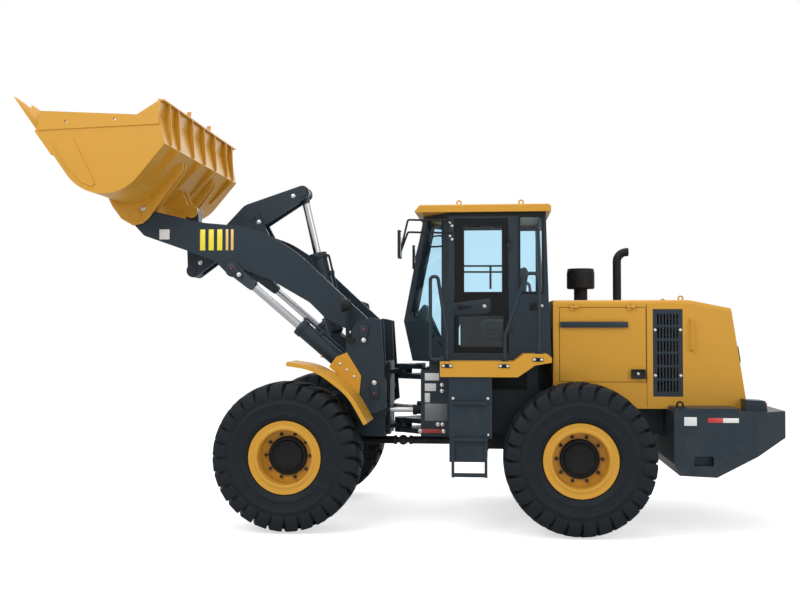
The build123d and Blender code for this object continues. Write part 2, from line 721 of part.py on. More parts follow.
def hood_profile(inset):
    """Side outline of the hood, drawn in by a wall and left open below."""
    return [
        (HOOD_FRONT - inset, COUNTERWEIGHT_TOP - inset),
        (HOOD_FRONT - inset, HOOD_TOP - inset),
        (HOOD_KINK[0], HOOD_KINK[1] - inset),
        (HOOD_CREST[0] + inset, HOOD_CREST[1] - inset),
        (HOOD_TAIL[0] + inset, HOOD_TAIL[1] - inset),
    ]


GRILLE_MIDDLE = (GRILLE_BOTTOM + GRILLE_TOP) / 2
TAIL_OUTWARD = (-1, 0, TAIL_SLOPE)
GRILLE_HINGE = hinge_plane(
    (tail_x(GRILLE_MIDDLE), -GRILLE_HALF_WIDTH, GRILLE_MIDDLE),
    (TAIL_SLOPE, 0, 1),
    TAIL_OUTWARD,
)
GRILLE_FACE = Plane((tail_x(GRILLE_MIDDLE), 0, GRILLE_MIDDLE), x_dir=(0, 1, 0), z_dir=TAIL_OUTWARD)

with BuildPart() as hood:
    slab(hood_profile(0), -HOOD_HALF_WIDTH, HOOD_HALF_WIDTH)
    side_edges = hood.edges().filter_by(lambda edge: abs(edge.center().Y) > HOOD_HALF_WIDTH - 1)
    top_edges = side_edges.filter_by(lambda edge: edge.center().Z > HOOD_CREST[1])
    fillet(top_edges, radius=HOOD_EDGE)
    inner = HOOD_HALF_WIDTH - HOOD_WALL
    slab(hood_profile(HOOD_WALL), -inner, inner, mode=Mode.SUBTRACT)
    for hand, side in SIDES:
        wall_y = (side * (inner - HOOD_EDGE), side * HOOD_HALF_WIDTH)
        door_z = (ENGINE_DOOR_BOTTOM, ENGINE_DOOR_TOP)
        block((ENGINE_DOOR_REAR, ENGINE_DOOR_FRONT), wall_y, door_z, mode=Mode.SUBTRACT)
        block((VENT_REAR, VENT_FRONT), wall_y, (VENT_BOTTOM, VENT_TOP), mode=Mode.SUBTRACT)
    gap_z = (COUNTERWEIGHT_TOP, CHASSIS_TOP + 20)
    block((HOOD_FRONT - HOOD_WALL, HOOD_FRONT), (-inner, inner), gap_z, mode=Mode.SUBTRACT)
    grille_x = (tail_x(GRILLE_BOTTOM) - HOOD_WALL, tail_x(GRILLE_TOP) + 2 * HOOD_WALL)
    grille_y = (-GRILLE_HALF_WIDTH, GRILLE_HALF_WIDTH)
    block(grille_x, grille_y, (GRILLE_BOTTOM, GRILLE_TOP), mode=Mode.SUBTRACT)
    for hand, side in SIDES:
        fixed_hinges(engine_hinge(side), ENGINE_HINGES)
        wall = side * HOOD_HALF_WIDTH
        grip = side * (HOOD_HALF_WIDTH + HANDLE_STANDOFF)
        ends = [(wall, HANDLE_Z[0]), (grip, HANDLE_Z[0]), (grip, HANDLE_Z[1]), (wall, HANDLE_Z[1])]
        tube([(HANDLE_X, y, z) for y, z in ends], HANDLE_RADIUS, HANDLE_BEND)
        lifting_eye(HOOD_EYE, EYE_RADIUS, EYE_HOLE, side * inner * 0.8, EYE_PLATE)
    fixed_hinges(GRILLE_HINGE, GRILLE_HINGES)
save(hood, "hood")

# Side vents: framed panels with six fields of upright slots
VENT_INSET = 4
VENT_PLATE = 22
VENT_FIELDS = 6
VENT_SLOTS = 7
VENT_FRAME = 40
SLOT_WIDTH = 18
FIELD_GAP = 26
with BuildPart() as side_vents:
    vent_x = (VENT_REAR + SEAT_GAP, VENT_FRONT - SEAT_GAP)
    vent_z = (VENT_BOTTOM + SEAT_GAP, VENT_TOP - SEAT_GAP)
    field_pitch = (VENT_TOP - VENT_BOTTOM - 2 * VENT_FRAME) / VENT_FIELDS
    slot_pitch = (VENT_FRONT - VENT_REAR - 2 * VENT_FRAME) / VENT_SLOTS
    for hand, side in SIDES:
        outer = side * (HOOD_HALF_WIDTH - VENT_INSET)
        block(vent_x, (outer, outer - side * VENT_PLATE), vent_z)
        with BuildSketch(Plane.XZ.offset(-outer)) as slots:
            with Locations(((VENT_FRONT + VENT_REAR) / 2, (VENT_TOP + VENT_BOTTOM) / 2)):
                with GridLocations(slot_pitch, field_pitch, VENT_SLOTS, VENT_FIELDS):
                    Rectangle(SLOT_WIDTH, field_pitch - FIELD_GAP)
        extrude(slots.sketch, amount=side * VENT_PLATE, mode=Mode.SUBTRACT)
save(side_vents, "side_vents")

for hand, side in SIDES:
    with BuildPart() as engine_door:
        door_y = (side * (HOOD_HALF_WIDTH - HOOD_WALL), side * HOOD_HALF_WIDTH)
        door_x = (ENGINE_DOOR_REAR + DOOR_GAP, ENGINE_DOOR_FRONT - DOOR_GAP)
        block(door_x, door_y, (ENGINE_DOOR_BOTTOM + DOOR_GAP, ENGINE_DOOR_TOP - DOOR_GAP))
        door_hinges(engine_hinge(side), ENGINE_HINGES)
    save(engine_door, f"engine_door_{hand}")

# Rear grille: a slatted panel on the hood's slanted tail, with its handle
SLAT_ROWS = 10
SLAT_PITCH = 76
SLAT_OPENING = (480, 40)
SLAT_COLUMNS = 560
GRIP_SPAN = 190
GRIP_RADIUS = 10
GRIP_Y = GRILLE_HALF_WIDTH - 55
with BuildPart() as rear_grille:
    low = GRILLE_BOTTOM + DOOR_GAP
    high = GRILLE_TOP - DOOR_GAP
    back = [(tail_x(low), low), (tail_x(high), high)]
    front = [shifted(point, GRILLE_PLATE, 0) for point in reversed(back)]
    slab(back + front, -GRILLE_HALF_WIDTH + DOOR_GAP, GRILLE_HALF_WIDTH - DOOR_GAP)
    with BuildSketch(GRILLE_FACE) as slats:
        with GridLocations(SLAT_COLUMNS, SLAT_PITCH, 2, SLAT_ROWS):
            Rectangle(*SLAT_OPENING)
    extrude(slats.sketch, amount=-2 * GRILLE_PLATE, mode=Mode.SUBTRACT)
    door_hinges(GRILLE_HINGE, GRILLE_HINGES)
save(rear_grille, "rear_grille")

with BuildPart() as grille_handle:
    foot = GRIP_SPAN / 2
    route = [(GRIP_Y, -foot, 0), (GRIP_Y, -foot, HANDLE_STANDOFF), (GRIP_Y, foot, HANDLE_STANDOFF), (GRIP_Y, foot, 0)]
    tube([GRILLE_FACE.from_local_coords(point) for point in route], GRIP_RADIUS, HANDLE_BEND)
save(grille_handle, "grille_handle")

# Cab: hollow shell with a narrower nose, roof, glass, door, seat and steering column
WINDOW_TOP = 3400
LOW_SILL = 1960
SILL_Z = 2560
WINDSCREEN_BOTTOM = 2360
PILLAR = 40
REAR_PILLAR = 160
GLASS_INSET = 16
GLASS = 8
GLASS_REACH = 100
DOOR_OPENING = [(DOOR_REAR, DOOR_BOTTOM), (DOOR_FRONT, DOOR_BOTTOM), (DOOR_FRONT, DOOR_TOP), (DOOR_REAR, DOOR_TOP)]
RIGHT_WINDOW = [(DOOR_REAR, LOW_SILL), (DOOR_FRONT, LOW_SILL), (DOOR_FRONT, WINDOW_TOP), (DOOR_REAR, WINDOW_TOP)]
REAR_SIDE_WINDOW = [
    (CAB_REAR_FOOT + 95, SILL_Z),
    (CAB_REAR_FOOT + 350, SILL_Z),
    (CAB_REAR_FOOT + 350, WINDOW_TOP),
    (CAB_REAR_FOOT + 110, WINDOW_TOP),
]
NOSE_SIDE_WINDOW = [
    (POST_X + 75, LOW_SILL),
    (POST_X + 75, WINDOW_TOP),
    (NOSE_TOP - 60, WINDOW_TOP),
    (NOSE_TIP - 85, NOSE_Z + 80),
]
UPPER_PANE_X = (DOOR_REAR + 65, DOOR_FRONT - 105)
UPPER_PANE_Z = (SILL_Z, 3300)
LOWER_PANE_X = (DOOR_REAR + 55, DOOR_FRONT - 45)
LOWER_PANE_Z = (LOW_SILL, 2310)
DOOR_MIDDLE = (DOOR_BOTTOM + DOOR_TOP) / 2
DOOR_HINGE = hinge_plane((DOOR_REAR, CAB_HALF_WIDTH, DOOR_MIDDLE), (0, 0, 1), (0, 1, 0))
WALL_REACH = CAB_HALF_WIDTH + GLASS_REACH
DEEP_REACH = CAB_NOSE_HALF_WIDTH - GLASS_REACH


def cab_plan(front, rear, inset):
    """Plan outline of the cab, drawn in by a wall."""
    wide = CAB_HALF_WIDTH - inset
    narrow = CAB_NOSE_HALF_WIDTH - inset
    shape = [(front - inset, narrow), (POST_X, wide), (rear + inset, wide)]
    return shape + [(x, -y) for x, y in reversed(shape)]


def cab_form(inset, bottom, top, mode=Mode.ADD):
    """Loft the cab's form between floor, nose and roof."""
    floor = (bottom, NOSE_FOOT, CAB_REAR_FOOT)
    nose = (NOSE_Z, NOSE_TIP, CAB_REAR_FOOT + 25)
    roof = (top, NOSE_TOP, CAB_REAR_TOP)
    sections = []
    for height, front, rear in (floor, nose, roof):
        with BuildSketch(Plane.XY.offset(height)) as section:
            outline_face(cab_plan(front, rear, inset), 0)
        sections.append(section.sketch)
    loft(sections, ruled=True, mode=mode)


def windscreen(margin, mode):
    """Cut or keep the windscreen opening."""
    half = CAB_NOSE_HALF_WIDTH - PILLAR - margin
    block((NOSE_TOP - 150, GLASS_REACH), (-half, half), (WINDSCREEN_BOTTOM + margin, WINDOW_TOP - margin), mode=mode)


def rear_window(margin, mode):
    """Cut or keep the rear window opening."""
    half = CAB_HALF_WIDTH - REAR_PILLAR - margin
    window_x = (CAB_REAR_FOOT - GLASS_REACH, CAB_REAR_FOOT + 140)
    block(window_x, (-half, half), (SILL_Z + margin, WINDOW_TOP - margin), mode=mode)


def pane(outline, side, reach):
    """Add the prism that a side pane is cut with, drawn in by the seat gap."""
    low, high = sorted((side * reach, side * WALL_REACH))
    with BuildSketch(Plane.XZ.offset(-high)) as profile:
        outline_face(outline, 0)
        offset(amount=-SEAT_GAP)
    extrude(profile.sketch, amount=high - low)


with BuildPart() as cab_shell:
    cab_form(0, CAB_FLOOR, CAB_TOP)
    cab_form(CAB_WALL, CAB_FLOOR + CAB_WALL, CAB_TOP, mode=Mode.SUBTRACT)
    slab(DOOR_OPENING, CAB_HALF_WIDTH - GLASS_REACH, WALL_REACH, mode=Mode.SUBTRACT)
    slab(RIGHT_WINDOW, -WALL_REACH, -CAB_HALF_WIDTH + GLASS_REACH, mode=Mode.SUBTRACT)
    for hand, side in SIDES:
        slab(REAR_SIDE_WINDOW, side * DEEP_REACH, side * WALL_REACH, mode=Mode.SUBTRACT)
        slab(NOSE_SIDE_WINDOW, side * DEEP_REACH, side * WALL_REACH, mode=Mode.SUBTRACT)
    windscreen(0, Mode.SUBTRACT)
    rear_window(0, Mode.SUBTRACT)
    fixed_hinges(DOOR_HINGE, DOOR_HINGES)
save(cab_shell, "cab_shell")

with BuildPart() as window_stock:
    cab_form(GLASS_INSET, CAB_FLOOR, CAB_TOP)
    cab_form(GLASS_INSET + GLASS, CAB_FLOOR, CAB_TOP, mode=Mode.SUBTRACT)
with BuildPart() as window_prisms:
    pane(RIGHT_WINDOW, -1, CAB_HALF_WIDTH - GLASS_REACH)
    for hand, side in SIDES:
        pane(REAR_SIDE_WINDOW, side, CAB_HALF_WIDTH - GLASS_REACH)
        pane(NOSE_SIDE_WINDOW, side, DEEP_REACH)
    windscreen(SEAT_GAP, Mode.ADD)
    rear_window(SEAT_GAP, Mode.ADD)
with BuildPart() as cab_glass:
    add(window_stock.part)
    add(window_prisms.part, mode=Mode.INTERSECT)
save(cab_glass, "cab_glass")

ROOF_REAR = CAB_REAR_FOOT + 5
ROOF_FRONT = NOSE_TOP + 70
ROOF_EDGE = 20
ROOF_EYES = (POST_X - 115, CAB_REAR_FOOT + 330)
ROOF_OUTLINE = [
    (ROOF_REAR, CAB_TOP),
    (ROOF_REAR, ROOF_TOP - 25),
    (ROOF_REAR + 35, ROOF_TOP),
    (ROOF_FRONT - 60, ROOF_TOP),
    (ROOF_FRONT, CAB_TOP + 12),
    (ROOF_FRONT - 5, CAB_TOP),
]
with BuildPart() as cab_roof:
    slab(ROOF_OUTLINE, -ROOF_HALF_WIDTH, ROOF_HALF_WIDTH)
    fillet(cab_roof.faces().sort_by(Axis.Z)[-1].edges().filter_by(Axis.X), radius=ROOF_EDGE)
    for x in ROOF_EYES:
        for hand, side in SIDES:
            lifting_eye((x, ROOF_TOP + 20), EYE_RADIUS, EYE_HOLE, side * (ROOF_HALF_WIDTH - 60), EYE_PLATE)
save(cab_roof, "cab_roof")

with BuildPart() as cab_door:
    door_y = (CAB_HALF_WIDTH - DOOR_THICKNESS, CAB_HALF_WIDTH)
    door_x = (DOOR_REAR + DOOR_GAP, DOOR_FRONT - DOOR_GAP)
    block(door_x, door_y, (DOOR_BOTTOM + DOOR_GAP, DOOR_TOP - DOOR_GAP))
    block(UPPER_PANE_X, door_y, UPPER_PANE_Z, mode=Mode.SUBTRACT)
    block(LOWER_PANE_X, door_y, LOWER_PANE_Z, mode=Mode.SUBTRACT)
    door_hinges(DOOR_HINGE, DOOR_HINGES)
save(cab_door, "cab_door")

with BuildPart() as cab_door_glass:
    glass_y = (CAB_HALF_WIDTH - GLASS_INSET - GLASS, CAB_HALF_WIDTH - GLASS_INSET)
    for x, z in ((UPPER_PANE_X, UPPER_PANE_Z), (LOWER_PANE_X, LOWER_PANE_Z)):
        block((x[0] + SEAT_GAP, x[1] - SEAT_GAP), glass_y, (z[0] + SEAT_GAP, z[1] - SEAT_GAP))
save(cab_door_glass, "cab_door_glass")

CABIN_FLOOR = CAB_FLOOR + CAB_WALL
SEAT_FRONT = -880
SEAT_REAR = -1400
SEAT_HALF = 250
PEDESTAL_HALF = 180
CUSHION_BOTTOM = CABIN_FLOOR + 300
CUSHION_TOP = CABIN_FLOOR + 430
BACKREST_TOP = CABIN_FLOOR + 1080
BACKREST_LEAN = 100
with BuildPart() as cab_seat:
    block((SEAT_REAR + 50, SEAT_FRONT - 70), (-PEDESTAL_HALF, PEDESTAL_HALF), (CABIN_FLOOR, CUSHION_BOTTOM))
    block((SEAT_REAR, SEAT_FRONT), (-SEAT_HALF, SEAT_HALF), (CUSHION_BOTTOM, CUSHION_TOP))
    backrest = [
        (SEAT_REAR, CUSHION_TOP),
        (SEAT_REAR + 130, CUSHION_TOP),
        (SEAT_REAR + 130 - BACKREST_LEAN, BACKREST_TOP),
        (SEAT_REAR - BACKREST_LEAN + 30, BACKREST_TOP),
    ]
    slab(backrest, -SEAT_HALF + 10, SEAT_HALF - 10)
save(cab_seat, "cab_seat")

COLUMN_X = -480
COLUMN_FOOT = (200, 120, 80)
COLUMN_LENGTH = 640
COLUMN_LEAN = (-0.35, 0, 0.94)
WHEEL_RADIUS = 190
WHEEL_TUBE = 14
SPOKE_RADIUS = 9
with BuildPart() as steering_column:
    column = Plane((COLUMN_X, 0, CABIN_FLOOR), x_dir=COLUMN_LEAN, z_dir=(0, -1, 0))
    turned(column, [(45, 0), (45, 95), (150, 60), (COLUMN_LENGTH, 45), (COLUMN_LENGTH, 0)])
    foot_x = (COLUMN_X - COLUMN_FOOT[0] / 2 - 20, COLUMN_X + COLUMN_FOOT[0] / 2 - 20)
    block(foot_x, (-COLUMN_FOOT[1], COLUMN_FOOT[1]), (CABIN_FLOOR, CABIN_FLOOR + COLUMN_FOOT[2]))
    wheel_middle = COLUMN_LENGTH - WHEEL_TUBE
    with BuildSketch(column) as grip:
        with Locations((wheel_middle, WHEEL_RADIUS)):
            RegularPolygon(WHEEL_TUBE, 8)
    revolve(grip.sketch, axis=Axis(column.origin, column.x_dir))
    wheel_centre = column.from_local_coords((wheel_middle, 0, 0))
    for direction in (column.y_dir, column.z_dir, column.z_dir * -1):
        disc(Plane(wheel_centre, z_dir=direction), (0, 0), SPOKE_RADIUS, WHEEL_RADIUS)
save(steering_column, "steering_column")

# Platforms beside the cab, carried by the step boxes
SKIRT = 28
PLATFORM_INNER = CAB_HALF_WIDTH + 6
PLATFORM_FRONT = POST_X + 76
PLATFORM_REAR = CAB_REAR_FOOT + 25
PLATFORM_RAISE = 81
RAMP_FRONT = PLATFORM_REAR + 396
RAMP_REAR = PLATFORM_REAR + 291
PLATFORM_OUTLINE = [
    (PLATFORM_FRONT, PLATFORM_TOP - PLATFORM_SKIRT),
    (PLATFORM_FRONT, PLATFORM_TOP),
    (RAMP_FRONT, PLATFORM_TOP),
    (RAMP_REAR, PLATFORM_TOP + PLATFORM_RAISE),
    (PLATFORM_REAR + 45, PLATFORM_TOP + PLATFORM_RAISE),
    (PLATFORM_REAR, PLATFORM_TOP + PLATFORM_RAISE / 2),
    (PLATFORM_REAR, PLATFORM_TOP - 10),
    (PLATFORM_REAR + 175, PLATFORM_TOP - 40),
    (PLATFORM_REAR + 355, PLATFORM_TOP - PLATFORM_SKIRT),
]
DECK_UNDER = [
    (PLATFORM_FRONT - SKIRT, PLATFORM_TOP - PLATFORM_SKIRT),
    (PLATFORM_FRONT - SKIRT, PLATFORM_TOP - SKIRT),
    (RAMP_FRONT - 11, PLATFORM_TOP - SKIRT),
    (RAMP_REAR - 11, PLATFORM_TOP + PLATFORM_RAISE - SKIRT),
    (PLATFORM_REAR, PLATFORM_TOP + PLATFORM_RAISE - SKIRT),
    (PLATFORM_REAR, PLATFORM_TOP - PLATFORM_SKIRT),
]
with BuildPart() as platforms:
    slab(PLATFORM_OUTLINE, PLATFORM_INNER, PLATFORM_HALF_WIDTH)
    slab(DECK_UNDER, PLATFORM_INNER, PLATFORM_HALF_WIDTH - SKIRT, mode=Mode.SUBTRACT)
    mirror(about=Plane.XZ)
save(platforms, "platforms")

# Step boxes with treads and hanging ladders
STEP_FRONT = PLATFORM_FRONT - 95
STEP_REAR = REAR_AXLE_X + TYRE_RADIUS + STEP_CLEARANCE
STEP_FACE = PLATFORM_HALF_WIDTH - SKIRT - 5
TANK_BOTTOM = 1000
SUMP_BOTTOM = 749
TREAD_HEIGHTS = (1395, 1010)
TREAD = 30
TREAD_REACH = PLATFORM_HALF_WIDTH + 10
LADDER_TOP = 1075
LADDER_BAR = 14
RUNG_Z = 620
with BuildPart() as steps:
    block((STEP_REAR, STEP_FRONT), (FRAME_HALF_WIDTH, STEP_FACE), (TANK_BOTTOM, PLATFORM_TOP - SKIRT))
    block((STEP_REAR + 50, STEP_FRONT), (FRAME_HALF_WIDTH + 60, STEP_FACE - 25), (SUMP_BOTTOM, TANK_BOTTOM))
    for height in TREAD_HEIGHTS:
        block((STEP_REAR + 45, STEP_FRONT - 45), (STEP_FACE, TREAD_REACH), (height - TREAD, height))
    for x in (STEP_FRONT - 40, STEP_REAR + 65):
        block((x - 16, x + 16), (STEP_FACE, STEP_FACE + LADDER_BAR), (RUNG_Z - TREAD, LADDER_TOP))
    block((STEP_REAR + 50, STEP_FRONT - 24), (STEP_FACE - 60, STEP_FACE + LADDER_BAR), (RUNG_Z - 25, RUNG_Z + 10))
    mirror(about=Plane.XZ)
save(steps, "steps")

# Hand rails on the platform edges, with their feet
RAIL_RADIUS = 19
RAIL_BEND = 38
RAIL_Y = PLATFORM_HALF_WIDTH - 45
RAIL_TOP = 2720
RAIL_KNEE = 2080
RAIL_FOOT = 10
FOOT_RADIUS = 42
FRONT_RAIL = PLATFORM_FRONT + 104
FRONT_FOOT = PLATFORM_FRONT - 73
REAR_FOOT = PLATFORM_REAR + 491
REAR_RAIL = PLATFORM_REAR + 130
FRONT_LOOP = [
    (PLATFORM_FRONT - 20, PLATFORM_TOP + RAIL_RADIUS),
    (FRONT_RAIL, PLATFORM_TOP + RAIL_RADIUS),
    (FRONT_RAIL, RAIL_TOP),
    (FRONT_RAIL - 80, RAIL_TOP),
    (FRONT_FOOT, RAIL_KNEE),
    (FRONT_FOOT, PLATFORM_TOP),
]
REAR_LOOP = [
    (REAR_FOOT, PLATFORM_TOP),
    (REAR_FOOT, RAIL_KNEE),
    (REAR_FOOT - 236, RAIL_TOP + 30),
    (REAR_RAIL + 20, RAIL_TOP + 30),
    (REAR_RAIL, RAIL_TOP - 120),
    (REAR_RAIL, PLATFORM_TOP + PLATFORM_RAISE),
]
with BuildPart() as hand_rails:
    for hand, side in SIDES:
        y = side * RAIL_Y
        for loop in (FRONT_LOOP, REAR_LOOP):
            tube([(x, y, z) for x, z in loop], RAIL_RADIUS, RAIL_BEND)
        for x, z in (FRONT_LOOP[-1], REAR_LOOP[0], REAR_LOOP[-1]):
            round_z((x, y), FOOT_RADIUS, z, z + RAIL_FOOT)
        clamp_x = (PLATFORM_FRONT - 45, PLATFORM_FRONT)
        block(clamp_x, (y - 30, y + 30), (PLATFORM_TOP, PLATFORM_TOP + 2 * RAIL_RADIUS + RAIL_FOOT))
save(hand_rails, "hand_rails")

# Mirrors on bent arms ahead of the front posts
MIRROR_Y = 1000
MIRROR_X = -50
MIRROR_HALF_WIDTH = 95
MIRROR_PLATE = 30
MIRROR_Z = (2930, 3230)
ARM_Z = (3350, 3215)
ARM_RADIUS = 11
ARM_BEND = 24
with BuildPart() as mirrors:
    for hand, side in SIDES:
        wall = side * CAB_HALF_WIDTH
        elbow = side * (CAB_HALF_WIDTH + 60)
        head = side * MIRROR_Y
        for arm_z in ARM_Z:
            arm = [
                (POST_X - 25, wall, arm_z),
                (POST_X - 25, elbow, arm_z),
                (MIRROR_X - 90, head, arm_z),
                (MIRROR_X, head, MIRROR_Z[0] + 40),
            ]
            tube(arm, ARM_RADIUS, ARM_BEND)
        head_y = (side * (MIRROR_Y - MIRROR_HALF_WIDTH), side * (MIRROR_Y + MIRROR_HALF_WIDTH))
        block((MIRROR_X - MIRROR_PLATE / 2, MIRROR_X + MIRROR_PLATE / 2), head_y, MIRROR_Z)
save(mirrors, "mirrors")

# Pre-cleaner bowl and exhaust pipe on the hood
CLEANER_X = HOOD_FRONT - 365
CLEANER = [(0, 0), (0, 78), (150, 78), (150, 150), (165, 160), (330, 160), (385, 150), (385, 0)]
with BuildPart() as pre_cleaner:
    turned(Plane((CLEANER_X, 0, HOOD_TOP), x_dir=(0, 0, 1), z_dir=(0, 1, 0)), CLEANER)
save(pre_cleaner, "pre_cleaner")

EXHAUST_X = HOOD_FRONT - 771
EXHAUST_Y = 100
EXHAUST_TOP = 3048
EXHAUST_RADIUS = 48
EXHAUST_BEND = 110
with BuildPart() as exhaust:
    stack = [(EXHAUST_X, EXHAUST_Y, HOOD_TOP), (EXHAUST_X, EXHAUST_Y, EXHAUST_TOP)]
    tube(stack + [(EXHAUST_X - EXHAUST_BEND - 20, EXHAUST_Y, EXHAUST_TOP)], EXHAUST_RADIUS, EXHAUST_BEND)
save(exhaust, "exhaust")

# Front chassis: tower plates, tongues, cross members and pins
TOWER_REAR = 160
TOWER_NECK = 1781
TOWER_BASE = 940
TOWER_HEAD = [(182, 2262), (300, 2290), (471, 2216), (571, 2037)]
TOWER_OUTLINE = [
    (TOWER_REAR - 48, 1292),
    (TOWER_REAR - 10, TOWER_NECK),
    *TOWER_HEAD,
    (560, 1500),
    (500, 1227),
    (237, 1227),
]
FRAME_NOSE = FRONT_AXLE_X + 360
INNER_OUTLINE = [
    (TOWER_REAR, TOWER_BASE),
    (TOWER_REAR, TOWER_NECK),
    *TOWER_HEAD,
    (FRONT_AXLE_X - 440, 1420),
    (FRAME_NOSE - 80, 1300),
    (FRAME_NOSE, 1150),
    (FRAME_NOSE, SADDLE_TOP),
    (FRONT_AXLE_X - 440, SADDLE_TOP),
    (FRONT_AXLE_X - 520, TOWER_BASE),
]
INNER_FACE = TOWER_INNER + TOWER_PLATE
OUTER_FACE = TOWER_OUTER + TOWER_PLATE
PIN_HEAD = 18
TONGUE_ROOT = TOWER_REAR - 30
TONGUE_HALF = 250
SHAFT_WINDOW = 130
TIE_X = (300, 500)
TIE_Z = (1230, 1260)
BRACE_X = (400, 560)
BRACE_Z = (1830, 1990)
TILT_LUG = (TILT_BARREL_RADIUS - 20, TILT_BARREL_RADIUS + 15)
TILT_LUG_RADIUS = 70
TILT_LUG_OUTLINE = [
    (BRACE_X[0] + 80, BRACE_Z[0] + 20),
    (BRACE_X[0] + 80, BRACE_Z[1] - 5),
    shifted(TILT_BASE, 0, TILT_LUG_RADIUS),
    shifted(TILT_BASE, 0, -TILT_LUG_RADIUS),
]
with BuildPart() as front_chassis:
    for hand, side in SIDES:
        slab(TOWER_OUTLINE, side * TOWER_OUTER, side * OUTER_FACE)
        slab(INNER_OUTLINE, side * TOWER_INNER, side * INNER_FACE)
        round_y(BOOM_PIVOT, BOOM_PIN_RADIUS, side * TOWER_INNER, side * (OUTER_FACE + PIN_HEAD))
        round_y(LIFT_BASE, LIFT_PIN_RADIUS, side * TOWER_INNER, side * (OUTER_FACE + PIN_HEAD))
        block(TIE_X, (side * INNER_FACE, side * TOWER_OUTER), TIE_Z)
    inside = (-TOWER_INNER, TOWER_INNER)
    block((TONGUE_ROOT, TOWER_REAR), (-TONGUE_HALF, TONGUE_HALF), (TOWER_BASE, TOWER_NECK))
    block((TOWER_REAR, TOWER_REAR + 40), inside, (1400, TOWER_NECK))
    block((TOWER_REAR, FRONT_AXLE_X - 520), inside, (TOWER_BASE, TOWER_BASE + 35))
    block((FRAME_NOSE - 120, FRAME_NOSE), inside, (SADDLE_TOP, 1150))
    block(BRACE_X, inside, BRACE_Z)
    round_x((0, SHAFT_Z), SHAFT_WINDOW, 0, TOWER_REAR + 40, mode=Mode.SUBTRACT)
    tongue = [(TONGUE_ROOT, -TONGUE_HALF), (TONGUE_ROOT, TONGUE_HALF), (0, HINGE_EYE_RADIUS), (0, -HINGE_EYE_RADIUS)]
    for hinge_z in (LOWER_HINGE_Z, UPPER_HINGE_Z):
        bottom = hinge_z - TONGUE_THICKNESS / 2
        top = hinge_z + TONGUE_THICKNESS / 2
        deck(tongue, bottom, top)
        round_z((0, 0), HINGE_EYE_RADIUS, bottom, top)
        round_z((0, 0), HINGE_PIN_RADIUS + PIN_FIT, bottom, top, mode=Mode.SUBTRACT)
    for hand, side in SIDES:
        steer_pin = (STEER_FRONT[0], side * STEER_FRONT[1])
        foot = [
            (TOWER_REAR, side * 120),
            (TOWER_REAR, side * 240),
            shifted(steer_pin, -40, 0),
            shifted(steer_pin, 60, 0),
            (TOWER_REAR + 110, side * 120),
        ]
        for bottom in STEER_LUGS:
            deck(foot, bottom, bottom + STEER_LUG)
            round_z(steer_pin, 2 * STEER_PIN_RADIUS, bottom, bottom + STEER_LUG)
        slab(TILT_LUG_OUTLINE, side * TILT_LUG[0], side * TILT_LUG[1])
        round_y(TILT_BASE, TILT_LUG_RADIUS, side * TILT_LUG[0], side * TILT_LUG[1])
    round_y(TILT_BASE, CRANK_PIN_RADIUS, -TILT_LUG[1], TILT_LUG[1])
save(front_chassis, "front_chassis")

# Front fenders behind the front tyres, bent sheets with a lip, on brackets from the tower
FENDER = 12
FENDER_LIP = 45
FENDER_BEND = 700
FENDER_OUTER = 1330
FENDER_LINE = [
    (FRONT_AXLE_X - 11, 1811),
    (FRONT_AXLE_X - 327, 1764),
    (FRONT_AXLE_X - 696, 1487),
    (FRONT_AXLE_X - 878, 1168),
]
FENDER_BRACKET = [
    (FRONT_AXLE_X - 380, 1740),
    (FRONT_AXLE_X - 720, 1440),
    (FRONT_AXLE_X - 740, 1640),
    (FRONT_AXLE_X - 580, 1900),
    (FRONT_AXLE_X - 460, 1850),
]


def fender_sheet(thickness, y_a, y_b):
    """Add a sheet along the fender's curve between two Y planes."""
    low, high = sorted((y_a, y_b))
    with BuildSketch(Plane.XZ.offset(-high)) as profile:
        with BuildLine() as edge:
            FilletPolyline(*FENDER_LINE, radius=FENDER_BEND)
            offset(amount=thickness, side=Side.LEFT)
        make_face(edge.line)
    extrude(profile.sketch, amount=high - low)


with BuildPart() as front_fenders:
    for hand, side in SIDES:
        fender_sheet(FENDER, side * OUTER_FACE, side * FENDER_OUTER)
        fender_sheet(FENDER_LIP, side * (FENDER_OUTER - FENDER), side * FENDER_OUTER)
        slab(FENDER_BRACKET, side * OUTER_FACE, side * (OUTER_FACE + 20))
save(front_fenders, "front_fenders")

# Headlamps on posts beside the tower
LAMP_X = 560
LAMP_Z = 2430
LAMP_RADIUS = 75
LAMP_POST = 20
LAMP_OUTLINE = [(-60, 0), (-45, 50), (20, LAMP_RADIUS), (50, LAMP_RADIUS), (50, 0)]
LAMP_SHELF = (2010, 2060)
with BuildPart() as headlamps:
    for hand, side in SIDES:
        y = side * (TOWER_OUTER + 55)
        turned(Plane((LAMP_X, y, LAMP_Z), x_dir=(1, 0, 0), z_dir=(0, -1, 0)), LAMP_OUTLINE)
        block((LAMP_X - 30, LAMP_X + 10), (y - LAMP_POST, y + LAMP_POST), (LAMP_SHELF[0] + 20, LAMP_Z - 30))
        block((LAMP_X - 80, LAMP_X - 10), (side * OUTER_FACE, side * (OUTER_FACE + 45)), LAMP_SHELF)
save(headlamps, "headlamps")

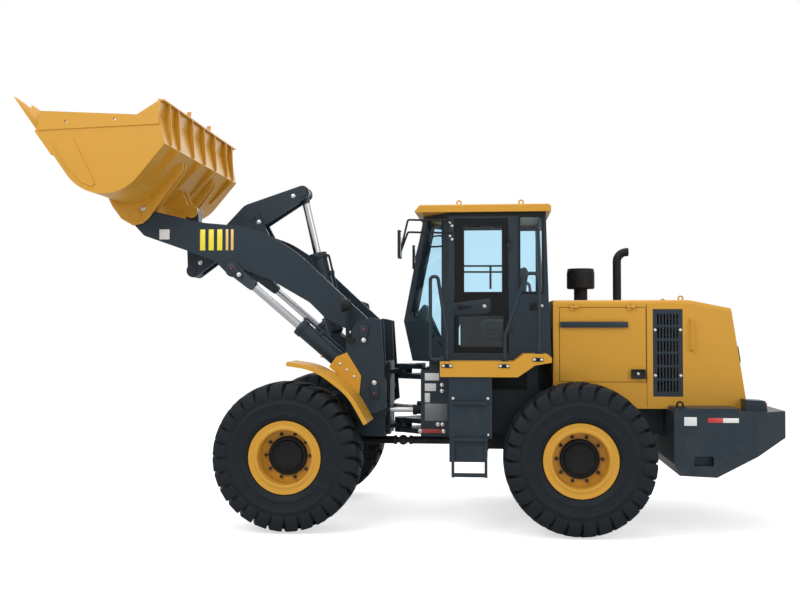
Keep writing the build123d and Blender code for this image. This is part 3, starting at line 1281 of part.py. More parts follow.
# Boom: two curved plates, cross tube and crank bracket
BOOM_CORNERS = [
    (300, 2240, 40),
    (640, 2551, 300),
    (1138, 3020, 1500),
    (1481, 3238, 900),
    (1753, 3332, 900),
    (2254, 3378, 900),
    (*shifted(BUCKET_PIVOT, -60, 85), 0),
    (*shifted(BUCKET_PIVOT, 40, -95), 0),
    (2939, 3234, 60),
    (2410, 3050, 300),
    (2105, 2935, 60),
    (1969, 2800, 60),
    (1744, 2830, 100),
    (1468, 2725, 400),
    (1007, 2461, 200),
    (838, 2293, 200),
    (470, 2100, 60),
]
BOOM_OUTLINE = [(x, z) for x, z, radius in BOOM_CORNERS]
BOOM_RADII = [radius for x, z, radius in BOOM_CORNERS]
BOOM_EYE = 125
PIVOT_EYE = 95
CROSS_TUBE = (1650, 3080)
CROSS_TUBE_RADIUS = 130
BRACKET_INNER = CRANK_OUTER + 10
BRACKET_OUTER = BRACKET_INNER + 40
BRACKET_HEAD = 90
with BuildPart() as boom:
    for hand, side in SIDES:
        slab(BOOM_OUTLINE, side * BOOM_INNER, side * BOOM_OUTER, BOOM_RADII)
        eye_y = (side * (INNER_FACE + SIDE_GAP), side * (TOWER_OUTER - SIDE_GAP))
        round_y(BOOM_PIVOT, BOOM_EYE, *eye_y)
        round_y(BUCKET_PIVOT, PIVOT_EYE, side * BOOM_INNER, side * BOOM_OUTER)
        round_y(LIFT_EYE, PIVOT_EYE, side * BOOM_INNER, side * BOOM_OUTER)
        round_y(BOOM_PIVOT, BOOM_PIN_RADIUS + PIN_FIT, *eye_y, mode=Mode.SUBTRACT)
        round_y(BUCKET_PIVOT, BOOM_PIN_RADIUS + PIN_FIT, side * BOOM_INNER, side * BOOM_OUTER, mode=Mode.SUBTRACT)
        bracket_y = (side * BRACKET_INNER, side * BRACKET_OUTER)
        arm_plate(CROSS_TUBE, CROSS_TUBE_RADIUS + 20, CRANK_PIVOT, BRACKET_HEAD, *bracket_y)
    round_y(CROSS_TUBE, CROSS_TUBE_RADIUS, -BOOM_INNER, BOOM_INNER)
    round_y(CRANK_PIVOT, CRANK_PIN_RADIUS, -BRACKET_OUTER - 15, BRACKET_OUTER + 15)
save(boom, "boom")

# Bell crank: two plates on a hub, open at both ends
CRANK_HUB = 165
CRANK_HEAD = 82
CRANK_BOSS = 55
BOSS_HEIGHT = 12
with BuildPart() as bell_crank:
    for hand, side in SIDES:
        arm_plate(CRANK_PIVOT, CRANK_HUB, CRANK_TOP, CRANK_HEAD, side * CRANK_INNER, side * CRANK_OUTER)
        arm_plate(CRANK_PIVOT, CRANK_HUB, CRANK_FOOT, CRANK_HEAD, side * CRANK_INNER, side * CRANK_OUTER)
        round_y(CRANK_TOP, CRANK_BOSS, side * CRANK_OUTER, side * (CRANK_OUTER + BOSS_HEIGHT))
    round_y(CRANK_PIVOT, 2 * CRANK_PIN_RADIUS, -CRANK_INNER, CRANK_INNER)
    round_y(CRANK_PIVOT, CRANK_PIN_RADIUS + PIN_FIT, -CRANK_OUTER, CRANK_OUTER, mode=Mode.SUBTRACT)
    round_y(CRANK_FOOT, LINK_PIN_RADIUS, -CRANK_OUTER - BOSS_HEIGHT, CRANK_OUTER + BOSS_HEIGHT)
save(bell_crank, "bell_crank")

LINK_FOOT_EYE = 80
LINK_TOP_EYE = 75
with BuildPart() as bucket_link:
    arm_plate(CRANK_FOOT, LINK_FOOT_EYE, LINK_TOP, LINK_TOP_EYE, -LINK_WIDTH / 2, LINK_WIDTH / 2)
    round_y(CRANK_FOOT, LINK_PIN_RADIUS + PIN_FIT, -LINK_WIDTH / 2, LINK_WIDTH / 2, mode=Mode.SUBTRACT)
save(bucket_link, "bucket_link")

# Bucket: bent skin, side plates with cutter bands and wear plates, spill guard, ears and ribs
BUCKET_ARC_CENTRE = shifted(BUCKET_PIVOT, *BUCKET_ARC_OFFSET)
FLOOR_START = step_from(BUCKET_ARC_CENTRE, FLOOR_ANGLE - 90, BUCKET_ARC_RADIUS)
LIP = step_from(FLOOR_START, FLOOR_ANGLE, FLOOR_LENGTH)
BACK_START = step_from(BUCKET_ARC_CENTRE, BACK_ANGLE + 90, BUCKET_ARC_RADIUS)
BACK_CORNER = step_from(BACK_START, BACK_ANGLE, BACK_LENGTH)
ARC_BOTTOM = step_from(BUCKET_ARC_CENTRE, 270, BUCKET_ARC_RADIUS)
BACK_TOP = shifted(BACK_CORNER, 65, 300)
GUARD_TOP = shifted(BACK_TOP, -20, 177)
SIDE_FRONT = shifted(LIP, -49, 205)
BUCKET_HALF = BUCKET_WIDTH / 2
BODY_HALF = BUCKET_HALF - SIDE_BAND
EAR_PLATE = 30
LINK_EAR = LINK_WIDTH / 2 + 10
BAND = [SIDE_FRONT, BACK_TOP, shifted(BACK_TOP, -3, -93), shifted(LIP, -31, -4)]
BAND_HOLES = [shifted(BACK_TOP, 1027, -49), shifted(BACK_TOP, 484, -31)]
HOLE_RADIUS = 16
WEAR_OFFSETS = [(572, 112), (338, 112), (85, -392), (120, -424), (236, -375), (395, -215), (572, 77)]
WEAR_PLATE = [shifted(BUCKET_ARC_CENTRE, *offset_xz) for offset_xz in WEAR_OFFSETS]
GUSSET = [BACK_TOP, GUARD_TOP, shifted(BACK_TOP, 245, 14)]
GUARD_RIBS = (-410, 410)
GUARD_RIB = [
    shifted(BACK_TOP, 10, 20),
    shifted(GUARD_TOP, 0, 90),
    shifted(GUARD_TOP, 45, 90),
    shifted(BACK_TOP, 75, 20),
]
BACK_RIBS = (-1130, -280, 280, 1130)
RIB_START = step_from(BACK_START, BACK_ANGLE, 40)
BACK_RIB = [
    RIB_START,
    BACK_CORNER,
    step_from(BACK_CORNER, BACK_ANGLE + 90, 60),
    step_from(RIB_START, BACK_ANGLE + 90, 20),
]
RIB_PLATE = 25
EDGE_PLATE = 18
EDGE_DEPTH = 320
EDGE_BACK = step_from(LIP, FLOOR_ANGLE, -EDGE_DEPTH)
EDGE_OUTLINE = [
    LIP,
    EDGE_BACK,
    step_from(EDGE_BACK, FLOOR_ANGLE - 90, EDGE_PLATE),
    step_from(LIP, FLOOR_ANGLE - 90, EDGE_PLATE),
]


def bucket_ear(pin, radius, from_angle, to_angle, y_a, y_b):
    """A plate from the bucket's curved skin down to a pin."""
    low, high = sorted((y_a, y_b))
    middle = BUCKET_ARC_RADIUS - BUCKET_WALL / 2
    start = step_from(BUCKET_ARC_CENTRE, from_angle, middle)
    end = step_from(BUCKET_ARC_CENTRE, to_angle, middle)
    between = step_from(BUCKET_ARC_CENTRE, (from_angle + to_angle) / 2, middle)
    with BuildSketch(Plane.XZ.offset(-high)) as profile:
        with BuildLine():
            ThreePointArc(start, between, end)
            Polyline(end, pin, start)
        make_face()
    extrude(profile.sketch, amount=high - low)
    round_y(pin, radius, low, high)


with BuildPart() as bucket:
    with BuildSketch(Plane.XZ.offset(-BODY_HALF)) as skin:
        with BuildLine() as skin_line:
            Line(LIP, FLOOR_START)
            ThreePointArc(FLOOR_START, ARC_BOTTOM, BACK_START)
            Polyline(BACK_START, BACK_CORNER, BACK_TOP, GUARD_TOP)
            offset(amount=BUCKET_WALL, side=Side.RIGHT)
        make_face()
    extrude(skin.sketch, amount=2 * BODY_HALF)
    slab(EDGE_OUTLINE, -BODY_HALF, BODY_HALF)
    for hand, side in SIDES:
        inner = BODY_HALF - CHEEK_PLATE
        low, high = sorted((side * inner, side * BODY_HALF))
        with BuildSketch(Plane.XZ.offset(-high)) as cheek:
            with BuildLine():
                Line(LIP, FLOOR_START)
                ThreePointArc(FLOOR_START, ARC_BOTTOM, BACK_START)
                Polyline(BACK_START, BACK_CORNER, BACK_TOP, SIDE_FRONT, LIP)
            make_face()
        extrude(cheek.sketch, amount=CHEEK_PLATE)
        slab(GUSSET, side * inner, side * BODY_HALF)
        slab(BAND, side * BODY_HALF, side * BUCKET_HALF)
        slab(WEAR_PLATE, side * BODY_HALF, side * BUCKET_HALF)
        for hole in BAND_HOLES:
            round_y(hole, HOLE_RADIUS, side * inner, side * BUCKET_HALF, mode=Mode.SUBTRACT)
        inner_ear = BOOM_INNER - SIDE_GAP - EAR_PLATE
        outer_ear = BOOM_OUTER + SIDE_GAP
        for ear_y in (inner_ear, outer_ear):
            bucket_ear(BUCKET_PIVOT, PIVOT_EYE, 235, 290, side * ear_y, side * (ear_y + EAR_PLATE))
        round_y(BUCKET_PIVOT, BOOM_PIN_RADIUS, side * inner_ear, side * (outer_ear + EAR_PLATE + BOSS_HEIGHT))
        bucket_ear(LINK_TOP, LINK_FOOT_EYE, 212, 255, side * LINK_EAR, side * (LINK_EAR + EAR_PLATE))
    for y in GUARD_RIBS:
        slab(GUARD_RIB, y - RIB_PLATE / 2, y + RIB_PLATE / 2)
    for y in BACK_RIBS:
        slab(BACK_RIB, y - RIB_PLATE / 2, y + RIB_PLATE / 2)
save(bucket, "bucket")

# Teeth along the cutting edge, as (distance from the lip, height above the floor)
TOOTH_INSET = 92
TOOTH_OUTLINE = [
    (SEAT_GAP, 0),
    (TOOTH_REACH, 0),
    (TOOTH_REACH - 184, 64),
    (TOOTH_REACH - 221, 70),
    (TOOTH_REACH - 228, 118),
    (TOOTH_REACH - 303, 126),
    (SEAT_GAP, 62),
]
with BuildPart() as bucket_teeth:
    tooth_pitch = (BUCKET_WIDTH - 2 * TOOTH_INSET) / (TOOTH_COUNT - 1)
    tooth = [step_from(step_from(LIP, FLOOR_ANGLE, s), FLOOR_ANGLE + 90, n) for s, n in TOOTH_OUTLINE]
    for index in range(TOOTH_COUNT):
        y = -BUCKET_HALF + TOOTH_INSET + index * tooth_pitch
        slab(tooth, y - TOOTH_WIDTH / 2, y + TOOTH_WIDTH / 2)
save(bucket_teeth, "bucket_teeth")

# Lift cylinders between the tower and the boom
LIFT_LENGTH = span(LIFT_BASE, LIFT_EYE)
LIFT_FORK = 250
LIFT_ROD_START = 760
LIFT_BARREL_EYE = 90
FORK_CHEEK = 32
FORK_EYE = 72
FORK_ROOT = 55
LIFT_EYE_HALF = 110
for hand, side in SIDES:
    lift_plane = side_plane(LIFT_BASE, LIFT_EYE, side * BOOM_Y)
    with BuildPart() as lift_barrel:
        turned(lift_plane, barrel_outline(LIFT_BARREL_RADIUS, LIFT_ROD_RADIUS, LIFT_BARREL_LENGTH))
        eye(lift_plane, 0, LIFT_BARREL_EYE, LIFT_PIN_RADIUS + PIN_FIT, LIFT_EYE_HALF)
    save(lift_barrel, f"lift_barrel_{hand}")
    with BuildPart() as lift_rod:
        fork_start = LIFT_LENGTH - LIFT_FORK
        clear = BOOM_PLATE / 2 + SIDE_GAP
        bar(lift_plane, LIFT_ROD_START, fork_start, LIFT_ROD_RADIUS)
        for cheek_z in (clear, -clear - FORK_CHEEK):
            with BuildSketch(lift_plane.offset(cheek_z)) as fork:
                with Locations((LIFT_LENGTH, 0)):
                    Circle(FORK_EYE)
                with Locations((fork_start - 25, 0)):
                    Circle(FORK_ROOT)
                make_hull()
            extrude(fork.sketch, amount=FORK_CHEEK)
        with BuildSketch(lift_plane.offset(-clear)) as root:
            with Locations((fork_start - 30, 0)):
                Rectangle(60, 2 * FORK_ROOT)
        extrude(root.sketch, amount=2 * clear)
    save(lift_rod, f"lift_rod_{hand}")

# Tilt cylinder between the tower and the bell crank
TILT_LENGTH = span(TILT_BASE, CRANK_TOP)
TILT_ROD_START = 640
TILT_BARREL_EYE = 85
TILT_ROD_EYE = 75
tilt_plane = side_plane(TILT_BASE, CRANK_TOP, 0)
with BuildPart() as tilt_barrel:
    turned(tilt_plane, barrel_outline(TILT_BARREL_RADIUS, TILT_ROD_RADIUS, TILT_BARREL_LENGTH, closed_end=115))
    eye(tilt_plane, 0, TILT_BARREL_EYE, CRANK_PIN_RADIUS + PIN_FIT, TILT_LUG[0] - SIDE_GAP)
save(tilt_barrel, "tilt_barrel")
with BuildPart() as tilt_rod:
    bar(tilt_plane, TILT_ROD_START, TILT_LENGTH, TILT_ROD_RADIUS)
    eye(tilt_plane, TILT_LENGTH, TILT_ROD_EYE, 0, CRANK_INNER - SIDE_GAP)
save(tilt_rod, "tilt_rod")

# Steering cylinders between the frames
STEER_ROD_START = 330
STEER_BARREL_EYE = 55
STEER_ROD_EYE = 50
for hand, side in SIDES:
    rear_pin = (STEER_REAR[0], side * STEER_REAR[1])
    front_pin = (STEER_FRONT[0], side * STEER_FRONT[1])
    steer_plane = plan_plane(rear_pin, front_pin, STEER_Z)
    steer_length = span(rear_pin, front_pin)
    with BuildPart() as steer_barrel:
        turned(steer_plane, barrel_outline(STEER_BARREL_RADIUS, STEER_ROD_RADIUS, STEER_BARREL_LENGTH, 9, 45, 70))
        eye(steer_plane, 0, STEER_BARREL_EYE, STEER_PIN_RADIUS + PIN_FIT, STEER_EYE_HALF)
    save(steer_barrel, f"steer_barrel_{hand}")
    with BuildPart() as steer_rod:
        bar(steer_plane, STEER_ROD_START, steer_length, STEER_ROD_RADIUS)
        eye(steer_plane, steer_length, STEER_ROD_EYE, 0, STEER_EYE_HALF)
    save(steer_rod, f"steer_rod_{hand}")
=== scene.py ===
# %% [markdown]
# # A wheel loader, dressed for a studio picture
# The machine is imported here as exact CAD solids.
# This lesson gives every solid a finish and adds what a CAD model leaves out: real tyres, cushions,
# bolts, lamps, gaskets, pipes and small fittings. Nothing of the CAD model is moved.

import json
import math

import bmesh
import bpy
from mathutils import Matrix, Vector


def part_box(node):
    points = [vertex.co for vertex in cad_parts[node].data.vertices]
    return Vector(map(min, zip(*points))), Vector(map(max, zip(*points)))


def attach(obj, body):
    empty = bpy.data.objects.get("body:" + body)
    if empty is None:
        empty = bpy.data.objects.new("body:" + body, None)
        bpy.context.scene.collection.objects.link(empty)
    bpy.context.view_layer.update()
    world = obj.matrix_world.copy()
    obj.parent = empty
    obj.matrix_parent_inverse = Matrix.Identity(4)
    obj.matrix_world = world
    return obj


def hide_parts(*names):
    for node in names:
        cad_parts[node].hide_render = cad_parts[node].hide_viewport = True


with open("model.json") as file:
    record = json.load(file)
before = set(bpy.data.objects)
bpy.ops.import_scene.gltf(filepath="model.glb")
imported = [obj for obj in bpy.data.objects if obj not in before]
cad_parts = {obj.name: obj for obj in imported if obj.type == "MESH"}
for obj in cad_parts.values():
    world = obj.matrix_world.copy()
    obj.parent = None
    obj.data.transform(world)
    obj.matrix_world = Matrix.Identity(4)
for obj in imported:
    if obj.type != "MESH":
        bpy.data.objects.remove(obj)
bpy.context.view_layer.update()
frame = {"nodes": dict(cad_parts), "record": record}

# %% [markdown]
# ## Camera
# The photograph was taken from the left side, at cab height and almost square to the machine.
# The camera could be placed by eye, but the four wheels fix its place and its lens, so those numbers are used.

# %% Set up the camera
EYE = Vector((-1.0615, 11.8425, 2.172))
LOOK_YAW = 0.0927
LOOK_PITCH = 0.0279
LENS = 45.06
SENSOR_WIDTH = 36.0
SIGHT_END = 200.0
look = Vector((
    math.sin(LOOK_YAW) * math.cos(LOOK_PITCH),
    -math.cos(LOOK_YAW) * math.cos(LOOK_PITCH),
    math.sin(LOOK_PITCH),
))
bpy.ops.object.select_all(action="DESELECT")
bpy.ops.object.camera_add(location=EYE, rotation=look.to_track_quat("-Z", "Y").to_euler())
camera = bpy.context.object
camera.data.lens = LENS
camera.data.sensor_width = SENSOR_WIDTH
camera.data.clip_end = SIGHT_END
bpy.context.scene.camera = camera
print("camera at", tuple(round(v, 3) for v in camera.location), "lens", LENS)

# %% [markdown]
# ## Studio
# A machine this size is lit by the whole sky, so the picture has soft shade everywhere and no hard shadow.
# A bright world does most of that, and four broad lamps give the tops of the panels their paler light.
# What the camera, the paint and the glass see behind the machine is plain white.

# %% Define the helpers for node trees
def set_values(made, values):
    """Sets the sockets of a node, by name or by number."""
    for key, value in values.items():
        made.inputs[key].default_value = value


def add_node(tree, kind, values=None, **settings):
    """A new shader node: its settings come first, since they decide which sockets it has."""
    made = tree.nodes.new(f"ShaderNode{kind}")
    for key, value in settings.items():
        setattr(made, key, value)
    set_values(made, values or {})
    return made


def wire(tree, *links):
    """Draws links, each given as a node and its output, then a node and its input."""
    for source, output, target, socket in links:
        tree.links.new(source.outputs[output], target.inputs[socket])


print("node helpers ready")

# %% Light the studio
SHADE_LEVEL = 0.50
SEEN_LEVEL = 1.0
AIM = Vector((0.0, 0.0, 1.5))
LAMPS = [
    ("key", (5.0, 9.0, 9.5), 7.0, 560.0),
    ("fill", (-8.0, 8.0, 5.0), 7.0, 230.0),
    ("top", (0.0, 0.0, 13.0), 9.0, 520.0),
    ("back", (-2.0, -10.0, 8.0), 8.0, 260.0),
]
bpy.context.scene.view_settings.view_transform = "Standard"
world = bpy.data.worlds.new("studio")
bpy.context.scene.world = world
world.use_nodes = True
sky = world.node_tree
backdrop = sky.nodes["Background"]
set_values(backdrop, {"Color": (1.0, 1.0, 1.0, 1.0)})
ray = add_node(sky, "LightPath")
seen = add_node(sky, "Math", operation="MAXIMUM")
through = add_node(sky, "Math", operation="MAXIMUM")
level = add_node(sky, "MapRange", {"To Min": SHADE_LEVEL, "To Max": SEEN_LEVEL})
wire(
    sky,
    (ray, "Is Camera Ray", seen, 0), (ray, "Is Glossy Ray", seen, 1), (seen, "Value", through, 0),
    (ray, "Is Transmission Ray", through, 1), (through, "Value", level, "Value"),
    (level, "Result", backdrop, "Strength"),
)
for name, place, size, power in LAMPS:
    aim = (AIM - Vector(place)).to_track_quat("-Z", "Y").to_euler()
    bpy.ops.object.select_all(action="DESELECT")
    bpy.ops.object.light_add(type="AREA", location=place, rotation=aim)
    lamp = bpy.context.object
    lamp.name = f"lamp_{name}"
    lamp.data.size = size
    lamp.data.energy = power
print("lamps", [row[0] for row in LAMPS])

# %% [markdown]
# ## Finishes
# New machines are sprayed, so the paint is even but never perfect: its tone drifts over a panel, the surface has
# a fine orange peel, and a little dust settles low down. One node group makes those three effects and each finish
# places it with its own values. The group gives out a colour, a roughness and a height, and the shader stays outside.

# %% Build the worn coat group
DUST_TOP = 1.9
DUST_FULL = 0.1


def worn_coat_group():
    """Tone drift, fine grain and low dust for any solid finish."""
    tree = bpy.data.node_groups.new("worn_coat", "ShaderNodeTree")
    for name, kind, value in [
        ("Colour", "NodeSocketColor", (0.5, 0.5, 0.5, 1.0)),
        ("Dust Colour", "NodeSocketColor", (0.42, 0.36, 0.28, 1.0)),
        ("Dust", "NodeSocketFloat", 0.2),
        ("Drift", "NodeSocketFloat", 0.08),
        ("Grain Size", "NodeSocketFloat", 90.0),
        ("Roughness", "NodeSocketFloat", 0.4),
    ]:
        tree.interface.new_socket(name, in_out="INPUT", socket_type=kind).default_value = value
    for name, kind in (("Colour", "Color"), ("Roughness", "Float"), ("Height", "Float")):
        tree.interface.new_socket(name, in_out="OUTPUT", socket_type=f"NodeSocket{kind}")
    given = tree.nodes.new("NodeGroupInput")
    result = tree.nodes.new("NodeGroupOutput")
    place = add_node(tree, "TexCoord")

    broad = add_node(tree, "TexNoise", {"Scale": 1.6, "Detail": 3.0})
    centred = add_node(tree, "Math", {1: 0.5}, operation="SUBTRACT")
    drift = add_node(tree, "Math", {2: 1.0}, operation="MULTIPLY_ADD")
    toned = add_node(tree, "VectorMath", operation="SCALE")
    wire(
        tree,
        (place, "Object", broad, "Vector"), (broad, "Fac", centred, 0), (centred, "Value", drift, 0),
        (given, "Drift", drift, 1), (given, "Colour", toned, 0), (drift, "Value", toned, "Scale"),
    )

    axes = add_node(tree, "SeparateXYZ")
    low = add_node(tree, "MapRange", {"From Min": DUST_TOP, "From Max": DUST_FULL})
    patch = add_node(tree, "TexNoise", {"Scale": 7.0, "Detail": 6.0})
    patchy = add_node(tree, "MapRange", {"From Min": 0.42, "From Max": 0.7})
    settled = add_node(tree, "Math", operation="MULTIPLY")
    dusty = add_node(tree, "Math", operation="MULTIPLY")
    mixed = add_node(tree, "Mix", data_type="RGBA")
    wire(
        tree,
        (place, "Object", axes, "Vector"), (axes, "Z", low, "Value"), (place, "Object", patch, "Vector"),
        (patch, "Fac", patchy, "Value"), (low, "Result", settled, 0), (patchy, "Result", settled, 1),
        (settled, "Value", dusty, 0), (given, "Dust", dusty, 1), (dusty, "Value", mixed, "Factor"),
        (toned, "Vector", mixed, "A"), (given, "Dust Colour", mixed, "B"), (mixed, "Result", result, "Colour"),
    )

    grain = add_node(tree, "TexNoise", {"Detail": 3.0})
    rough = add_node(tree, "Math", {1: 0.12}, operation="MULTIPLY_ADD")
    rougher = add_node(tree, "Math", {1: 0.3}, operation="MULTIPLY_ADD")
    wire(
        tree,
        (place, "Object", grain, "Vector"), (given, "Grain Size", grain, "Scale"), (grain, "Fac", rough, 0),
        (given, "Roughness", rough, 2), (dusty, "Value", rougher, 0), (rough, "Value", rougher, 2),
        (rougher, "Value", result, "Roughness"), (grain, "Fac", result, "Height"),
    )
    return tree


worn_coat = worn_coat_group()
print("group", worn_coat.name, "with", len(worn_coat.nodes), "nodes")

# %% [markdown]
# A finish is then a Principled shader fed by that group. Paint gets a clear coat, steel is metallic,
# rubber and plastic are rougher and have a coarser grain.

# %% Mix the solid finishes
COAT_ROUGHNESS = 0.12
DENT_DEPTH = 0.004
SLATE = (0.017, 0.029, 0.041)


def new_finish(name, colour, alpha=1.0):
    """An empty material, with its node tree and its shader."""
    finish = bpy.data.materials.new(name)
    finish.use_nodes = True
    finish.diffuse_color = (*colour, alpha)
    return finish, finish.node_tree, finish.node_tree.nodes["Principled BSDF"]


def add_coat(tree, colour, roughness, dust=0.05, drift=0.08, grain=90.0):
    """The worn coat, placed in a material with its own values."""
    values = {
        "Colour": (*colour, 1.0), "Dust": dust, "Drift": drift, "Grain Size": grain, "Roughness": roughness,
    }
    return add_node(tree, "Group", values, node_tree=worn_coat)


def solid_finish(name, colour, roughness, metallic=0.0, coat=0.0, shine=0.5, bump=0.02, **wear):
    """One opaque finish: the worn coat feeds colour, roughness and a fine bump."""
    finish, tree, shader = new_finish(name, colour)
    set_values(shader, {
        "Metallic": metallic, "Coat Weight": coat, "Coat Roughness": COAT_ROUGHNESS, "Specular IOR Level": shine,
    })
    worn = add_coat(tree, colour, roughness, **wear)
    dent = add_node(tree, "Bump", {"Strength": bump, "Distance": DENT_DEPTH})
    wire(
        tree,
        (worn, "Colour", shader, "Base Color"), (worn, "Roughness", shader, "Roughness"),
        (worn, "Height", dent, "Height"), (dent, "Normal", shader, "Normal"),
    )
    return finish


golden_paint = solid_finish("golden_paint", (0.63, 0.315, 0.028), 0.34, coat=0.12, grain=70.0, shine=0.32)
slate_paint = solid_finish("slate_paint", SLATE, 0.36, coat=0.06, grain=80.0, shine=0.25)
black_enamel = solid_finish(
    "black_enamel", (0.006, 0.007, 0.008), 0.40, coat=0.02, dust=0.02, grain=60.0, shine=0.18
)
black_moulding = solid_finish("black_moulding", (0.009, 0.010, 0.011), 0.55, grain=420.0, bump=0.12, shine=0.25)
door_black = solid_finish("door_black", (0.004, 0.005, 0.006), 0.25, coat=0.04, dust=0.0, grain=50.0, shine=0.18)
tyre_compound = solid_finish(
    "tyre_compound", (0.009, 0.013, 0.017), 0.55, dust=0.01, drift=0.1, grain=160.0, bump=0.06, shine=0.18
)
cast_iron = solid_finish(
    "cast_iron", (0.035, 0.037, 0.040), 0.6, metallic=0.3, dust=0.15, grain=200.0, bump=0.2, shine=0.3
)
polished_rod = solid_finish("polished_rod", (0.46, 0.47, 0.49), 0.12, metallic=1.0, dust=0.0, drift=0.04, grain=300.0)
zinc_steel = solid_finish("zinc_steel", (0.60, 0.60, 0.58), 0.28, metallic=0.9, drift=0.2, grain=240.0)
gasket_rubber = solid_finish("gasket_rubber", (0.008, 0.009, 0.010), 0.5, grain=300.0, bump=0.05, shine=0.25)
dash_plastic = solid_finish("dash_plastic", (0.075, 0.12, 0.12), 0.5, dust=0.0, grain=350.0, bump=0.1, shine=0.3)
bare_plate = solid_finish("bare_plate", (0.74, 0.75, 0.75), 0.35, drift=0.05, grain=200.0)
brushed_plate = solid_finish(
    "brushed_plate", (0.16, 0.17, 0.18), 0.4, metallic=0.6, drift=0.3, grain=140.0, bump=0.1
)
bright_trim = solid_finish("bright_trim", (0.93, 0.78, 0.035), 0.3, coat=0.3, drift=0.06)
tan_trim = solid_finish("tan_trim", (0.88, 0.55, 0.17), 0.3, coat=0.3, drift=0.06)
red_enamel = solid_finish("red_enamel", (0.32, 0.025, 0.018), 0.35, coat=0.2, drift=0.15)
red_reflector = solid_finish("red_reflector", (0.55, 0.02, 0.015), 0.25, coat=0.6, drift=0.15, grain=500.0, bump=0.2)
pale_reflector = solid_finish("pale_reflector", (0.80, 0.80, 0.78), 0.25, coat=0.6, drift=0.1, grain=500.0, bump=0.2)
amber_lens = solid_finish("amber_lens", (0.80, 0.25, 0.02), 0.15, coat=0.8, drift=0.1, grain=500.0, bump=0.15)
mirror_silver = solid_finish(
    "mirror_silver", (0.80, 0.82, 0.84), 0.03, metallic=1.0, dust=0.0, drift=0.03, grain=30.0, bump=0.002
)
print("finishes", len(bpy.data.materials))

# %% [markdown]
# ## Rods with painted eyes
# A cylinder's rod is ground and plated, but the forged eye welded on its end is painted with the frame. Rod and eye
# are one solid, so the finish itself changes: a mask is nought near the eye's pin and one further along the rod.

# %% Mix the rod finishes
LIFT_EYE = (1.894, 2.847)
CRANK_TOP = (1.198, 3.784)
STEER_EYE = (0.190, 1.230)


def copied_finish(source, name):
    """A copy of a material under a new name, with its node tree and its shader."""
    finish = source.copy()
    finish.name = name
    return finish, finish.node_tree, finish.node_tree.nodes["Principled BSDF"]


def rod_finish(name, eye, reach):
    """Plated steel that turns to slate paint within a reach of the eye's pin, given as its x and z."""
    finish, tree, shader = copied_finish(polished_rod, name)
    steel = next(row for row in tree.nodes if row.type == "GROUP")
    paint = add_coat(tree, SLATE, 0.4, grain=80.0)
    place = add_node(tree, "TexCoord")
    flat = add_node(tree, "VectorMath", {1: (1.0, 0.0, 1.0)}, operation="MULTIPLY")
    far = add_node(tree, "VectorMath", {1: (eye[0], 0.0, eye[1])}, operation="DISTANCE")
    bare = add_node(tree, "Math", {1: reach}, operation="GREATER_THAN")
    wire(tree, (place, "Object", flat, 0), (flat, 0, far, 0), (far, "Value", bare, 0), (bare, 0, shader, "Metallic"))
    for kind, output, socket in (("RGBA", "Colour", "Base Color"), ("FLOAT", "Roughness", "Roughness")):
        blend = add_node(tree, "Mix", data_type=kind)
        wire(
            tree,
            (bare, 0, blend, "Factor"), (paint, output, blend, "A"), (steel, output, blend, "B"),
            (blend, "Result", shader, socket),
        )
    return finish


lift_rod_steel = rod_finish("lift_rod_steel", LIFT_EYE, 0.335)
tilt_rod_steel = rod_finish("tilt_rod_steel", CRANK_TOP, 0.130)
steer_rod_steel = rod_finish("steer_rod_steel", STEER_EYE, 0.075)
print("rod finishes", lift_rod_steel.name, tilt_rod_steel.name, steer_rod_steel.name)

# %% [markdown]
# Cab glass is tinted a light blue and lets the white backdrop through. It is one clear shader, with a faint drift
# in its colour, so that the panes don't look like one flat sheet.

# %% Tint the glass
GLASS_TINT = (0.70, 0.89, 0.98)
cab_pane, tree, shader = new_finish("cab_pane", GLASS_TINT, alpha=0.4)
set_values(shader, {"Transmission Weight": 1.0, "IOR": 1.35, "Roughness": 0.0})
tint = add_coat(tree, GLASS_TINT, 0.0, dust=0.0, drift=0.06, grain=3.0)
wire(tree, (tint, "Colour", shader, "Base Color"))
print("glass", cab_pane.name)

# %% [markdown]
# The seat is covered in a coarse woven cloth. Two sets of fine waves, one across the other, make threads
# that go over and under, and they tint the cloth as well as raise it.

# %% Weave the seat cloth
CLOTH = (0.018, 0.019, 0.021)
THREAD = (0.075, 0.08, 0.088)
WAVES = {"Scale": 60.0, "Distortion": 0.6}
seat_cloth, tree, shader = new_finish("seat_cloth", CLOTH)
set_values(shader, {"Roughness": 0.9, "Sheen Weight": 0.3})
place = add_node(tree, "TexCoord")
warp = add_node(tree, "TexWave", WAVES, bands_direction="X")
weft = add_node(tree, "TexWave", WAVES, bands_direction="Y")
crossing = add_node(tree, "Math", operation="MULTIPLY")
shade = add_node(tree, "Mix", {"A": (*CLOTH, 1.0), "B": (*THREAD, 1.0)}, data_type="RGBA")
raised = add_node(tree, "Bump", {"Strength": 0.4, "Distance": 0.003})
wire(
    tree,
    (place, "Object", warp, "Vector"), (place, "Object", weft, "Vector"),
    (warp, "Fac", crossing, 0), (weft, "Fac", crossing, 1), (crossing, "Value", shade, "Factor"),
    (shade, "Result", shader, "Base Color"), (crossing, "Value", raised, "Height"),
    (raised, "Normal", shader, "Normal"),
)
print("cloth", seat_cloth.name)

# %% [markdown]
# Platforms are pressed with raised bars so that boots don't slip. Bars one way and bars the other way take turns
# in a checker, and only faces that look up carry them.

# %% Press the tread plate
WHITE = (1.0, 1.0, 1.0, 1.0)
BLACK = (0.0, 0.0, 0.0, 1.0)


